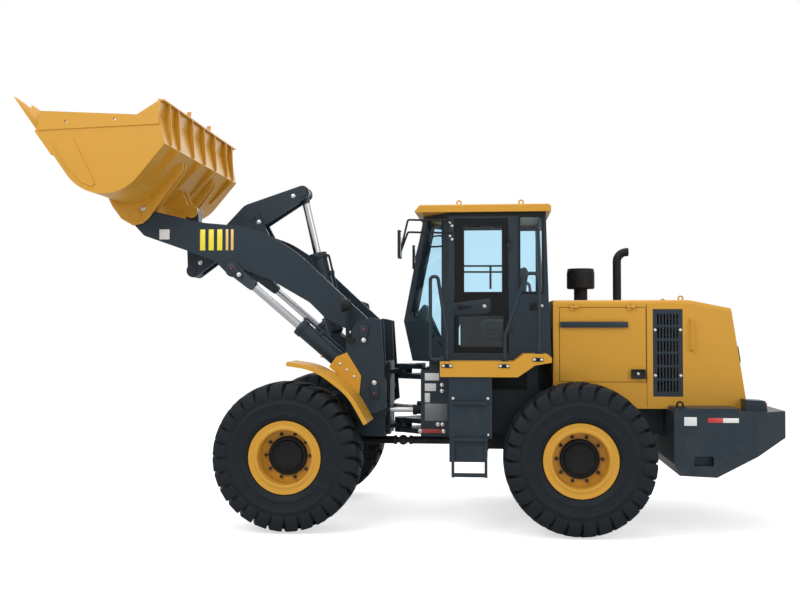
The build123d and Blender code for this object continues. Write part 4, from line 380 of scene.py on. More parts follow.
def tread_finish(name, source):
    """A copy of a paint with raised bars on its upward faces."""
    finish, tree, shader = copied_finish(source, name)
    place = add_node(tree, "TexCoord")
    field = add_node(tree, "TexChecker", {"Scale": 22.0, "Color1": WHITE, "Color2": BLACK})
    along = add_node(tree, "TexWave", {"Scale": 7.0}, bands_direction="X")
    athwart = add_node(tree, "TexWave", {"Scale": 7.0}, bands_direction="Y")
    swap = add_node(tree, "Mix")
    facing = add_node(tree, "NewGeometry")
    axes = add_node(tree, "SeparateXYZ")
    upward = add_node(tree, "Math", {1: 0.9}, operation="GREATER_THAN")
    raised = add_node(tree, "Math", operation="MULTIPLY")
    relief = add_node(tree, "Bump", {"Strength": 0.6, "Distance": 0.004})
    wire(
        tree,
        (place, "Object", along, "Vector"), (place, "Object", athwart, "Vector"), (place, "Object", field, "Vector"),
        (field, "Fac", swap, "Factor"), (along, "Fac", swap, "A"), (athwart, "Fac", swap, "B"),
        (facing, "Normal", axes, "Vector"), (axes, "Z", upward, 0), (swap, "Result", raised, 0),
        (upward, "Value", raised, 1), (raised, "Value", relief, "Height"), (relief, "Normal", shader, "Normal"),
    )
    return finish


tread_gold = tread_finish("tread_gold", golden_paint)
tread_slate = tread_finish("tread_slate", slate_paint)
print("tread plates", tread_gold.name, tread_slate.name)

# %% [markdown]
# ## Painting the solids
# Every CAD node takes the first finish of its slot in the record. A few nodes are finer than their slot says:
# the platforms and steps are pressed plate, the door is a glossy black frame, and the rods end in painted eyes.
# The other finishes in a slot's row are for pieces that are added later.

# %% Paint every CAD node
SLOT_FINISHES = {
    "yellow_paint": (golden_paint, bright_trim, tan_trim),
    "grey_paint": (slate_paint, bare_plate),
    "black_metal": (black_enamel,),
    "black_plastic": (
        black_moulding, gasket_rubber, dash_plastic, red_enamel, red_reflector, pale_reflector, amber_lens,
    ),
    "tyre_rubber": (tyre_compound,),
    "window_glass": (cab_pane,),
    "chrome_rod": (polished_rod, zinc_steel, brushed_plate, mirror_silver),
    "engine_iron": (cast_iron,),
    "seat_fabric": (seat_cloth,),
}
NODE_FINISH = {
    "platforms": tread_gold, "steps": tread_slate, "cab_door": door_black, "tilt_rod": tilt_rod_steel,
    "lift_rod_left": lift_rod_steel, "lift_rod_right": lift_rod_steel,
    "steer_rod_left": steer_rod_steel, "steer_rod_right": steer_rod_steel,
}
finish_slot = {finish.name: slot for slot, row in SLOT_FINISHES.items() for finish in row}
record_slot = {row["node"]: row["material_slot"] for row in frame["record"]["subparts"]}
for part, solid in frame["nodes"].items():
    solid.data.materials.clear()
    solid.data.materials.append(NODE_FINISH.get(part, SLOT_FINISHES[record_slot[part]][0]))
print("painted", len(frame["nodes"]), "nodes")

# %% [markdown]
# ## Workshop helpers
# An operator acts on all that is selected, so each helper first clears the selection. A finished piece keeps its
# place in its mesh, has a finish, and rides on the body that carries it.

# %% Define the workshop helpers
MERGE_REACH = 0.0001
HANDS = (("left", 1), ("right", -1))
SIDES = (1, -1)


def only(piece):
    """Selects one piece alone."""
    bpy.ops.object.select_all(action="DESELECT")
    piece.select_set(True)
    bpy.context.view_layer.objects.active = piece


def set_down(piece):
    """Moves a piece's place, turn and size into its mesh."""
    only(piece)
    bpy.ops.object.transform_apply(location=True, rotation=True, scale=True)


def open_mesh(piece, action="SELECT"):
    """Opens a piece for editing, with all of it selected, or none of it."""
    only(piece)
    bpy.ops.object.mode_set(mode="EDIT")
    bpy.ops.mesh.select_all(action=action)


def close_mesh():
    """Ends the editing."""
    bpy.ops.object.mode_set(mode="OBJECT")


def close_up(piece):
    """Merges doubles and turns all faces outwards."""
    open_mesh(piece)
    bpy.ops.mesh.remove_doubles(threshold=MERGE_REACH)
    bpy.ops.mesh.normals_make_consistent(inside=False)
    close_mesh()


def shaped(piece, kind, **settings):
    """Adds one modifier and applies it."""
    only(piece)
    modifier = piece.modifiers.new(kind, kind)
    for key, value in settings.items():
        setattr(modifier, key, value)
    bpy.ops.object.modifier_apply(modifier=modifier.name)
    return piece


def softened(piece, width, segments=2, angle=30.0):
    """Rounds the edges that are sharper than an angle in degrees."""
    limit = math.radians(angle)
    return shaped(piece, "BEVEL", width=width, segments=segments, limit_method="ANGLE", angle_limit=limit)


def joined(pieces):
    """Makes one piece of several."""
    only(pieces[0])
    for piece in pieces[1:]:
        piece.select_set(True)
    if len(pieces) > 1:
        bpy.ops.object.join()
    return pieces[0]


def moved_copy(model, matrix):
    """A copy with its own mesh, carried to its place."""
    copy = model.copy()
    copy.data = model.data.copy()
    bpy.context.collection.objects.link(copy)
    copy.data.transform(matrix)
    return copy


def discard(*models):
    """Takes away models that have been copied."""
    for model in models:
        bpy.data.objects.remove(model)


def fitted(piece, name, body, finish, slot=None, nodes=(), smooth=35.0):
    """Names a piece, gives it its finish, and ties it to its body. Its slot is not used."""
    slot = slot or finish_slot[finish.name]
    piece.name = name
    piece.data.name = name
    piece.data.materials.clear()
    piece.data.materials.append(finish)
    only(piece)
    bpy.ops.object.shade_smooth_by_angle(angle=math.radians(smooth))
    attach(piece, body)
    if nodes:
        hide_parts(*nodes)
    print("fitted", name, "on", body, "faces", len(piece.data.polygons))


print("helpers ready")

# %% [markdown]
# ## Tyres
# An earthmover tyre has a round carcass with a few rings moulded in its side, and deep slanted lugs whose ends wrap
# over the shoulder. The carcass could be a torus, but its section isn't round, so its outline is drawn and spun.

# %% Spin the carcass
AXLE_FRONT = 1.140
AXLE_REAR = -1.960
WHEEL_Y = 1.125
WHEEL_Z = 0.800
WHEEL_STEPS = 96
CROWN = (0.0, 0.744)
SIDE_LINE = [
    (0.190, 0.393), (0.246, 0.394), (0.255, 0.398), (0.266, 0.410), (0.275, 0.428), (0.284, 0.440), (0.2885, 0.462),
    (0.2885, 0.474), (0.2845, 0.480), (0.2920, 0.530), (0.2940, 0.560), (0.2970, 0.564), (0.2970, 0.578),
    (0.2930, 0.584), (0.2900, 0.610), (0.2830, 0.645), (0.2660, 0.690), (0.2360, 0.722), (0.1700, 0.738),
    (0.0800, 0.743),
]
front_left = Vector((AXLE_FRONT, WHEEL_Y, WHEEL_Z))


def spun(points, centre, axis, steps):
    """A line drawn point by point, then spun all the way round an axis."""
    bpy.ops.object.select_all(action="DESELECT")
    bpy.ops.mesh.primitive_plane_add(size=0.01, location=points[0])
    piece = bpy.context.object
    set_down(piece)
    open_mesh(piece)
    bpy.ops.mesh.merge(type="CENTER")
    for start, end in zip(points, points[1:]):
        step = Vector(end) - Vector(start)
        bpy.ops.mesh.extrude_vertices_move(TRANSFORM_OT_translate={"value": step})
    bpy.ops.mesh.select_all(action="SELECT")
    bpy.ops.mesh.spin(steps=steps, angle=2.0 * math.pi, center=centre, axis=axis)
    close_mesh()
    close_up(piece)
    return piece


def wheel_spun(line):
    """A line of a wheel's section, given as distances outwards and radii, spun round the front left axle."""
    return spun([front_left + Vector((0.0, y, r)) for y, r in line], front_left, (0.0, 1.0, 0.0), WHEEL_STEPS)


carcass = wheel_spun(SIDE_LINE + [CROWN] + [(-y, r) for y, r in reversed(SIDE_LINE)])
print("carcass faces", len(carcass.data.polygons))

# %% [markdown]
# One lug is lofted through seven sections, from near the middle of the tread, over the shoulder and down the side.
# It leans as it goes, and its edges are rounded with a bevel. The rest are turned copies on both sides.

# %% Loft one lug and copy it round
LUGS = 28
LUG_SECTIONS = [
    ((-0.012, 0.8000), (-0.012, 0.738), 0.0, 0.044, 0.052),
    ((0.100, 0.7990), (0.100, 0.734), 1.4, 0.046, 0.054),
    ((0.190, 0.7920), (0.186, 0.715), 4.4, 0.056, 0.062),
    ((0.266, 0.7740), (0.238, 0.690), 6.4, 0.066, 0.070),
    ((0.286, 0.7300), (0.256, 0.670), 7.0, 0.064, 0.070),
    ((0.2950, 0.6700), (0.274, 0.640), 7.2, 0.060, 0.066),
    ((0.2955, 0.6250), (0.282, 0.615), 7.4, 0.056, 0.060),
]


def loft(rings):
    """A closed skin through rings of corners: the first is filled, and its face is extruded from ring to ring."""
    rings = [[Vector(corner) for corner in ring] for ring in rings]
    bpy.ops.object.select_all(action="DESELECT")
    bpy.ops.mesh.primitive_circle_add(vertices=len(rings[0]), radius=1.0, fill_type="NGON")
    piece = bpy.context.object
    open_mesh(piece)
    mesh = bmesh.from_edit_mesh(piece.data)
    for corner, place in zip(mesh.verts, rings[0]):
        corner.co = place
    bmesh.update_edit_mesh(piece.data)
    for old, new in zip(rings, rings[1:]):
        bpy.ops.mesh.extrude_region_move()
        mesh = bmesh.from_edit_mesh(piece.data)
        for corner in [vertex for vertex in mesh.verts if vertex.select]:
            nearest = min(range(len(old)), key=lambda index: (corner.co - old[index]).length)
            corner.co = new[nearest]
        bmesh.update_edit_mesh(piece.data)
    close_mesh()
    close_up(piece)
    return piece


def lug_ring(section, side, start):
    """The four corners of one section of a lug, round the front left wheel."""
    top, foot, lean, top_half, foot_half = section
    corners = []
    for (y, r), half in ((top, -top_half), (top, top_half), (foot, foot_half), (foot, -foot_half)):
        angle = start + math.radians(lean) + half / r
        corners.append(front_left + Vector((r * math.sin(angle), side * y, r * math.cos(angle))))
    return corners


lugs = []
for side, start in ((1.0, 0.0), (-1.0, math.pi / LUGS)):
    lug = softened(loft([lug_ring(section, side, start) for section in LUG_SECTIONS]), 0.006, angle=40.0)
    for index in range(LUGS):
        turn = Matrix.Rotation(2.0 * math.pi * index / LUGS, 4, "Y")
        about = Matrix.Translation(front_left) @ turn @ Matrix.Translation(-front_left)
        lugs.append(moved_copy(lug, about))
    discard(lug)
tyre = joined([carcass] + lugs)
print("tyre faces", len(tyre.data.polygons))

# %% [markdown]
# The four tyres are the same, so four copies are set at the wheels, each in place of its CAD tyre.

# %% Set the four tyres
WHEELS = {
    "front_left": front_left,
    "front_right": Vector((AXLE_FRONT, -WHEEL_Y, WHEEL_Z)),
    "rear_left": Vector((AXLE_REAR, WHEEL_Y, WHEEL_Z)),
    "rear_right": Vector((AXLE_REAR, -WHEEL_Y, WHEEL_Z)),
}
for corner, centre in WHEELS.items():
    copy = moved_copy(tyre, Matrix.Translation(centre - front_left))
    fitted(copy, f"tread_{corner}", f"wheel_{corner}", tyre_compound, nodes=[f"tyre_{corner}"])
discard(tyre)

# %% [markdown]
# ## Bolts
# Bolts are all alike, so one is modelled with care: a turned washer and a six-sided head with a chamfer. It stands on
# the origin and looks up, and every other bolt is a copy that is stood on its own place.

# %% Model one bolt
TIP = 0.0001
HEAD_STEPS = 14


def turned(line, steps):
    """A line of radii and heights, turned round the Z axis."""
    return spun([(r, 0.0, z) for r, z in line], (0, 0, 0), (0, 0, 1), steps)


def six_sided(radius, height, chamfer, base=0.0):
    """A hexagon head: the top is inset and lifted to make its chamfer."""
    bpy.ops.object.select_all(action="DESELECT")
    middle = (0, 0, base + height / 2)
    bpy.ops.mesh.primitive_cylinder_add(vertices=6, radius=radius, depth=height, location=middle)
    head = bpy.context.object
    set_down(head)
    open_mesh(head, "DESELECT")
    mesh = bmesh.from_edit_mesh(head.data)
    for face in mesh.faces:
        face.select = face.normal.z > 0.9
    bmesh.update_edit_mesh(head.data)
    bpy.ops.mesh.inset(thickness=chamfer)
    bpy.ops.transform.translate(value=(0.0, 0.0, chamfer * 0.6))
    close_mesh()
    return head


washer = turned([(TIP, 0.004), (0.016, 0.004), (0.018, 0.0025), (0.018, 0.0)], HEAD_STEPS)
bolt = joined([washer, six_sided(0.0135, 0.009, 0.003, base=0.004)])
print("bolt faces", len(bolt.data.polygons))

# %% Define how bolts are set
def standing(point, direction):
    """The matrix that stands a model made along +Z on a point, looking along a direction."""
    turn = Vector(direction).to_track_quat("Z", "Y").to_matrix().to_4x4()
    return Matrix.Translation(Vector(point)) @ turn


def both_sides(y, points):
    """Points and directions on both sides of the machine, at one distance and given as x and z."""
    return [((x, side * y, z), (0, side, 0)) for side in SIDES for x, z in points]


def bolts(places, name, body, size):
    """A set of bolts on one body, given as points and directions."""
    group = [moved_copy(bolt, standing(*place) @ Matrix.Scale(size, 4)) for place in places]
    fitted(joined(group), name, body, zinc_steel)


print("bolt helpers ready")

# %% [markdown]
# ## Rims and wheel nuts
# The rim ends in a rolled lip and a lock ring, which shine as two bright circles inside the tyre. They could be two
# tori, but their section has flats and hollows, so it is drawn and spun. Ten nuts, each with a stub of stud, hold it.

# %% Fit the lock rings and nuts
LIP_LINE = [
    (0.2420, 0.3890), (0.2560, 0.3895), (0.2600, 0.3860), (0.2600, 0.3800), (0.2560, 0.3660), (0.2530, 0.3480),
    (0.2520, 0.3360), (0.2545, 0.3300), (0.2590, 0.3200), (0.2610, 0.3100), (0.2590, 0.2990), (0.2520, 0.2915),
    (0.2400, 0.2885), (0.2260, 0.2885), (0.2420, 0.3890),
]


def ring_of(model, count, radius, out, shift=0.0, size=1.0):
    """Copies of a model in a ring round the front left axle, looking outwards, as one piece."""
    ring = []
    for index in range(count):
        angle = 2.0 * math.pi * (index + shift) / count
        point = front_left + Vector((radius * math.sin(angle), out, radius * math.cos(angle)))
        ring.append(moved_copy(model, standing(point, (0, 1, 0)) @ Matrix.Scale(size, 4)))
    return joined(ring)


lip = wheel_spun(LIP_LINE)
stud = six_sided(0.010, 0.012, 0.002, base=0.022)
nut = joined([six_sided(0.0190, 0.022, 0.004), stud])
wheel_nuts = ring_of(nut, 10, 0.2375, 0.035, shift=0.5)
cap_bolts = ring_of(bolt, 8, 0.138, 0.0885, size=0.8)
WHEEL_SET = (
    ("rim_lip", lip, golden_paint), ("wheel_nuts", wheel_nuts, cast_iron), ("cap_bolts", cap_bolts, black_enamel),
)
for corner, centre in WHEELS.items():
    turn = Matrix.Rotation(math.pi, 4, "Z") if corner.endswith("right") else Matrix.Identity(4)
    carry = Matrix.Translation(centre) @ turn @ Matrix.Translation(-front_left)
    for name, model, finish in WHEEL_SET:
        fitted(moved_copy(model, carry), f"{name}_{corner}", f"wheel_{corner}", finish)
discard(nut, lip, wheel_nuts, cap_bolts)

# %% [markdown]
# ## Seat
# The driver's seat is a foam cushion and a taller back on a black pedestal with rubber bellows. The pedestal is
# lofted with a fold at each ring. The pads are swelled by the cloth simulation, so that their faces crown and their
# sides pull in.

# %% Fold the bellows
SEAT_X = -1.150
SEAT_FOOT = 1.8425
FOLD = 0.0345
PULL = 0.022


def rectangle(x_a, x_b, z_a, z_b, cut=0.008):
    """A rectangle with its corners cut."""
    return [
        (x_a + cut, z_a), (x_b - cut, z_a), (x_b, z_a + cut), (x_b, z_b - cut),
        (x_b - cut, z_b), (x_a + cut, z_b), (x_a, z_b - cut), (x_a, z_a + cut),
    ]


bellows = []
for index in range(9):
    half_x, half_y = 0.195 - PULL * (index % 2), 0.175 - PULL * (index % 2)
    ring = rectangle(SEAT_X - half_x, SEAT_X + half_x, -half_y, half_y, cut=0.04)
    bellows.append([(x, y, SEAT_FOOT + FOLD * index) for x, y in ring])
fitted(loft(bellows), "seat_bellows", "rear_frame", gasket_rubber, nodes=["cab_seat"])

# %% Swell the cushions
CUSHION_REACH = 0.024
CHANNEL_WIDTH = 0.010
CLOTH_FRAMES = 20


def cushion(rings, name, channels):
    """A pad: a lofted block, remeshed, swelled by cloth pressure, and drawn in along its sewn channels."""
    pad = softened(loft(rings), 0.030, segments=3)
    shaped(pad, "REMESH", mode="VOXEL", voxel_size=0.011)
    rest = [vertex.co.copy() for vertex in pad.data.vertices]
    only(pad)
    cloth = pad.modifiers.new("swell", "CLOTH")
    cloth.settings.use_pressure = True
    cloth.settings.uniform_pressure_force = 4.0
    cloth.settings.effector_weights.gravity = 0.0
    cloth.point_cache.frame_end = CLOTH_FRAMES
    for step in range(1, CLOTH_FRAMES + 1):
        bpy.context.scene.frame_set(step)
    bpy.ops.object.modifier_apply(modifier=cloth.name)
    bpy.context.scene.frame_set(1)
    for vertex, start in zip(pad.data.vertices, rest):
        move = vertex.co - start
        if move.length > CUSHION_REACH:
            vertex.co = start + move.normalized() * CUSHION_REACH
        for point, direction, inward in channels:
            offset = (vertex.co - Vector(point)).dot(Vector(direction))
            vertex.co += Vector(inward) * math.exp(-(offset / CHANNEL_WIDTH) ** 2)
    shaped(pad, "SUBSURF", levels=1, render_levels=1)
    fitted(pad, name, "rear_frame", seat_cloth, nodes=["cab_seat"], smooth=180.0)


def pad_ring(x_a, x_b, half, z_a, z_b):
    """A level ring of a pad, which may lean between two heights."""
    return [(x_a, -half, z_a), (x_b, -half, z_b), (x_b, half, z_b), (x_a, half, z_a)]


seat_rings = [pad_ring(-1.375, -0.905, 0.225, 2.150, 2.150), pad_ring(-1.375, -0.905, 0.225, 2.240, 2.248)]
seat_channels = [((-1.14, y, 2.25), (0, 1, 0), (0, 0, -0.006)) for y in (-0.13, 0.13)]
cushion(seat_rings, "seat_cushion", seat_channels)
back_rings = [pad_ring(-1.390, -1.290, 0.215, 2.290, 2.290), pad_ring(-1.455, -1.375, 0.205, 2.900, 2.885)]
back_channels = [((-1.33, 0.0, z), (0, 0, 1), (-0.006, 0, 0)) for z in (2.42, 2.55, 2.68)]
cushion(back_rings, "seat_back", back_channels)

# %% [markdown]
# ## Window seals
# Each pane sits in a black rubber seal. A seal is a closed line with a round section, laid along the pane's edge.
# The nose of the cab tapers, so its side windows need the wall's distance at every point.

# %% Define lines and pipes
def across(y, points):
    """Points of the side view, given as x and z, set at one distance y."""
    return [Vector((x, y, z)) for x, z in points]


def pipe(points, radius, closed=False, smooth=True):
    """A bent pipe or a seal: a curve through a few points with a round section, made a mesh."""
    line = bpy.data.curves.new("pipe", "CURVE")
    line.dimensions = "3D"
    line.bevel_depth = radius
    line.bevel_resolution = 3
    line.resolution_u = 6
    line.use_fill_caps = True
    run = line.splines.new("NURBS" if smooth else "POLY")
    run.points.add(len(points) - 1)
    for knot, place in zip(run.points, points):
        knot.co = (*place, 1.0)
    run.use_cyclic_u = closed
    if smooth:
        run.order_u = 3
        run.use_endpoint_u = not closed
    piece = bpy.data.objects.new("pipe", line)
    bpy.context.collection.objects.link(piece)
    only(piece)
    bpy.ops.object.convert(target="MESH")
    piece = bpy.context.object
    close_up(piece)
    return piece


print("pipe helpers ready")

# %% Lay the seals
CAB_SIDE = 0.800
SEAL_Y = 0.7985
SEAL_RADIUS = 0.010
SIDE_SEAL_RADIUS = 0.014
NOSE_HALF = 0.380
POST_X = -0.575
NOSE_LEVELS = (1.796, 2.250, 3.448)
NOSE_TIPS = (-0.140, -0.040, -0.270)
DOOR_PANES = [rectangle(-1.167, -0.737, 2.56, 3.30), rectangle(-1.177, -0.677, 1.96, 2.31)]
SIDE_PANE = rectangle(-1.605, -1.350, 2.56, 3.40)
NOSE_PANE = [(-0.500, 1.960), (-0.500, 3.400), (-0.330, 3.400), (-0.125, 2.330)]


def nose_wall(x, z):
    """The distance of the nose's side wall from the middle. Its tip swells to the belt line and leans back above."""
    low = 0 if z < NOSE_LEVELS[1] else 1
    rise = (z - NOSE_LEVELS[low]) / (NOSE_LEVELS[low + 1] - NOSE_LEVELS[low])
    tip = NOSE_TIPS[low] + rise * (NOSE_TIPS[low + 1] - NOSE_TIPS[low])
    return CAB_SIDE - (x - POST_X) / (tip - POST_X) * (CAB_SIDE - NOSE_HALF)


def seal(points, radius):
    """A closed seal along straight edges."""
    return pipe(points, radius, closed=True, smooth=False)


door_seals = [seal(across(SEAL_Y, pane), SEAL_RADIUS) for pane in DOOR_PANES]
fitted(joined(door_seals), "door_seals", "cab_door", gasket_rubber)
seals = []
for side in SIDES:
    seals.append(seal(across(side * SEAL_Y, SIDE_PANE), SIDE_SEAL_RADIUS))
    nose = [Vector((x, side * (nose_wall(x, z) - 0.002), z)) for x, z in NOSE_PANE]
    seals.append(seal(nose, SEAL_RADIUS))
fitted(joined(seals), "cab_seals", "rear_frame", gasket_rubber)

# %% [markdown]
# ## Door lever, lock and cab vent
# The door has a black lever on a slate panel, and a bright round lock beside it. A small slatted vent and a knob sit in
# the wall behind the door. The lever is a short loft that narrows to its end.

# %% Fit the lever and the lock
LEVER_PANEL = [(-0.637, 2.312), (-0.637, 2.445), (-1.020, 2.498), (-1.035, 2.480), (-1.035, 2.370), (-1.000, 2.330)]
KNOB_LINE = [(TIP, 0.016), (0.008, 0.0155), (0.0125, 0.011), (0.0125, 0.003), (0.016, 0.001), (0.016, -0.002)]


def cut_sheet(outline, y_a, y_b, edge=0.003, segments=2):
    """A piece with an outline of the side view, thick from one y to another, with softened edges."""
    return softened(loft([across(y, outline) for y in sorted((y_a, y_b))]), edge, segments)


def door_bar(stations):
    """A bar along the door: each station has x, how far its two faces stand out, z and half its height."""
    rings = []
    for x, inner, outer, z, half in stations:
        y_a, y_b = CAB_SIDE + inner, CAB_SIDE + outer
        rings.append([(x, y_a, z - half), (x, y_b, z - half), (x, y_b, z + half), (x, y_a, z + half)])
    return loft(rings)


panel = cut_sheet(LEVER_PANEL, CAB_SIDE - 0.003, CAB_SIDE + 0.008, edge=0.004)
fitted(panel, "lever_panel", "cab_door", slate_paint)
lever = door_bar([(-0.665, 0.005, 0.020, 2.405, 0.026), (-0.715, 0.005, 0.020, 2.405, 0.0286)])
grip = door_bar([
    (-0.675, 0.016, 0.036, 2.405, 0.014), (-0.710, 0.024, 0.044, 2.406, 0.014),
    (-0.800, 0.026, 0.042, 2.412, 0.0112), (-0.830, 0.020, 0.034, 2.414, 0.0084),
])
fitted(softened(joined([lever, grip]), 0.004, angle=40.0), "door_lever", "cab_door", black_moulding)
knob = turned(KNOB_LINE, 20)
lock = moved_copy(knob, standing((-0.969, CAB_SIDE + 0.007, 2.410), (0, 1, 0)) @ Matrix.Scale(1.3, 4))
fitted(lock, "door_lock", "cab_door", zinc_steel)

# %% Slat the cab vent
VENT_BOX = (-1.550, 2.362, -1.460, 2.450)
SLAT_BOXES = [(-1.540, 2.376 + 0.015 * index, -1.470, 2.384 + 0.015 * index) for index in range(5)]


def plate(low, high, edge):
    """A plate between two corners, with its edges rounded."""
    low, high = Vector(low), Vector(high)
    bpy.ops.object.select_all(action="DESELECT")
    bpy.ops.mesh.primitive_cube_add(size=1.0, location=(low + high) / 2, scale=high - low)
    piece = bpy.context.object
    set_down(piece)
    open_mesh(piece)
    bpy.ops.mesh.bevel(offset=edge, segments=2, affect="EDGES")
    close_mesh()
    close_up(piece)
    return piece


def side_plate(side, inner, outer, edge, box):
    """A plate on one side of the machine, between two distances from its middle. Its box is x and z, twice."""
    near, far = sorted((side * inner, side * outer))
    return plate((box[0], near, box[1]), (box[2], far, box[3]), edge)


def side_plates(inner, outer, edge, boxes):
    """The same plates on both sides of the machine."""
    return [side_plate(side, inner, outer, edge, box) for side in SIDES for box in boxes]


def paired(name, finish, inner, outer, edge, boxes):
    """The same plates on both sides, as one piece of the rear frame."""
    fitted(joined(side_plates(inner, outer, edge, boxes)), name, "rear_frame", finish)


vents = side_plates(CAB_SIDE - 0.002, CAB_SIDE + 0.009, 0.004, [VENT_BOX])
vents += side_plates(CAB_SIDE + 0.008, CAB_SIDE + 0.015, 0.002, SLAT_BOXES)
fitted(joined(vents), "cab_vents", "rear_frame", black_moulding)
knobs = [moved_copy(knob, standing(*place)) for place in both_sides(CAB_SIDE, [(-1.594, 2.412)])]
fitted(joined(knobs), "vent_knobs", "rear_frame", zinc_steel)

# %% [markdown]
# ## Hood fittings
# Each engine door has a plain dark band along its top and a latch in a black recess, and the vent panel behind it is
# held by four bright screws. The latch's pocket is inset and pushed in from one plate.

# %% Fit the latches and bands
LATCH_BOX = (-2.704, 1.622, -2.548, 1.724)
LATCH_LOCK = (-2.626, 1.673)
BAND_BOX = (-2.520, 2.176, -1.790, 2.240)
THIN_EDGE = 0.0008
VENT_SCREWS = [(x, z) for x in (-2.812, -3.082) for z in (2.150, 1.655)]


def pocket(piece, side):
    """Insets a plate's outer face and pushes it back to make a shallow pocket."""
    open_mesh(piece, "DESELECT")
    mesh = bmesh.from_edit_mesh(piece.data)
    outer = [face for face in mesh.faces if face.normal.y * side > 0.9]
    max(outer, key=lambda face: face.calc_area()).select = True
    bmesh.update_edit_mesh(piece.data)
    bpy.ops.mesh.inset(thickness=0.010)
    bpy.ops.transform.translate(value=(0.0, -side * 0.006, 0.0))
    close_mesh()
    return piece


for hand, side in HANDS:
    body = f"engine_door_{hand}"
    low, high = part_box(f"engine_door_{hand}")
    face = high.y if side > 0 else -low.y
    latch = pocket(side_plate(side, face - 0.004, face + 0.008, 0.003, LATCH_BOX), side)
    fitted(latch, f"latch_{hand}", body, black_moulding)
    place = (LATCH_LOCK[0], side * (face + 0.002), LATCH_LOCK[1])
    fitted(moved_copy(knob, standing(place, (0, side, 0))), f"latch_lock_{hand}", body, zinc_steel)
    band = side_plate(side, face - 0.001, face + 0.0015, THIN_EDGE, BAND_BOX)
    fitted(band, f"hood_band_{hand}", body, slate_paint)
vent_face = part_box("side_vents")[1].y
bolts(both_sides(vent_face, VENT_SCREWS), "vent_screws", "rear_frame", 0.9)

# %% [markdown]
# ## Pins
# The boom and the cylinders turn on steel pins. A drop-shaped keeper on each pin's head stops it from turning: its
# round end covers the pin and holds a red cap for grease, and one bright bolt goes through its tail.

# %% Model the keeper and its cap
HEAD_RADIUS = 0.052
TAIL_RADIUS = 0.026
TAIL = 0.118
KEEPER_TOP = 0.012
CAP_LINE = [(TIP, 0.020), (0.008, 0.019), (0.011, 0.016), (0.011, 0.011)]
keeper_line = []
for step in range(15):
    angle = math.radians(-15.0 + 210.0 * step / 14.0)
    keeper_line.append((HEAD_RADIUS * math.cos(angle), HEAD_RADIUS * math.sin(angle)))
for step in range(7):
    angle = math.radians(200.0 + 140.0 * step / 6.0)
    keeper_line.append((TAIL_RADIUS * math.cos(angle), -TAIL + TAIL_RADIUS * math.sin(angle)))
keeper = loft([[(x, y, height) for x, y in keeper_line] for height in (-0.020, KEEPER_TOP)])
softened(keeper, 0.003, angle=40.0)
grease_cap = turned(CAP_LINE, HEAD_STEPS)
print("keeper faces", len(keeper.data.polygons), "cap faces", len(grease_cap.data.polygons))

# %% Fit the pin keepers
TOWER_FACE = 0.795
FORK_FACE = 0.730
BOOM_PIN = (0.370, 2.154)
LIFT_BASE = (0.251, 1.448)
ROD_TURN = math.radians(52.3)
PIN_BOLT = 1.5


def pin_seat(side, pin, face, turn):
    """The matrix that lays a keeper on a pin's head, on one side of the machine, turned in its own plane."""
    upright = Matrix(((-side, 0, 0, pin[0]), (0, 0, side, side * face), (0, 1, 0, pin[1]), (0, 0, 0, 1)))
    return upright @ Matrix.Rotation(turn, 4, "Z")


def keeper_set(seats, names, body):
    """Keepers, grease caps and tail bolts on the given seats, as three pieces on one body."""
    on_tail = Matrix.Translation((0.0, -TAIL, KEEPER_TOP)) @ Matrix.Scale(PIN_BOLT, 4)
    on_pin = Matrix.Identity(4)
    models = ((keeper, on_pin, slate_paint), (grease_cap, on_pin, red_enamel), (bolt, on_tail, zinc_steel))
    for name, (model, place, finish) in zip(names, models):
        fitted(joined([moved_copy(model, seat @ place) for seat in seats]), name, body, finish)


pin_seats = []
for side in SIDES:
    for pin, turn in ((BOOM_PIN, 0.0), (LIFT_BASE, math.pi)):
        pin_seats.append(pin_seat(side, pin, TOWER_FACE, turn))
keeper_set(pin_seats, ("pin_keepers", "grease_caps", "keeper_bolts"), "front_frame")
for hand, side in HANDS:
    names = [f"rod_{part}_{hand}" for part in ("keeper", "cap", "bolt")]
    keeper_set([pin_seat(side, LIFT_EYE, FORK_FACE, side * ROD_TURN)], names, f"lift_rod_{hand}")
bolts(both_sides(0.125, [(2.432, 2.952), (1.305, 3.742)]), "crank_bolts", "bell_crank", PIN_BOLT)
bolts(both_sides(0.175, [(1.708, 3.430)]), "bracket_bolts", "boom", PIN_BOLT)
discard(keeper, grease_cap)

# %% [markdown]
# ## Boom trim
# The boom carries a trim of plain upright bars in bright yellow and tan, and a bare pale plate near its tip.
# They are thin plates on both outer faces.

# %% Lay the boom trim
BOOM_FACE = 0.650
BOOM_TRIM = (
    ("trim_bright", bright_trim, [(x, 3.060, x + 0.060, 3.300) for x in (2.220, 2.120, 2.020)]),
    ("trim_tan", tan_trim, [(x, 3.060, x + 0.030, 3.300) for x in (1.950, 1.890)]),
    ("boom_plate", bare_plate, [(2.640, 3.190, 2.760, 3.305)]),
)
for hand, side in HANDS:
    for name, finish, boxes in BOOM_TRIM:
        bars = [side_plate(side, BOOM_FACE - 0.001, BOOM_FACE + 0.0015, THIN_EDGE, box) for box in boxes]
        fitted(joined(bars), f"{name}_{hand}", "boom", finish)

# %% [markdown]
# ## Cylinder pipes
# Oil reaches the far end of each lift cylinder through a steel pipe clamped along its barrel. The pipe starts and ends
# in a bend down to the barrel, so it is one smooth curve, and two clamp blocks hold it. The tilt cylinder has one too.

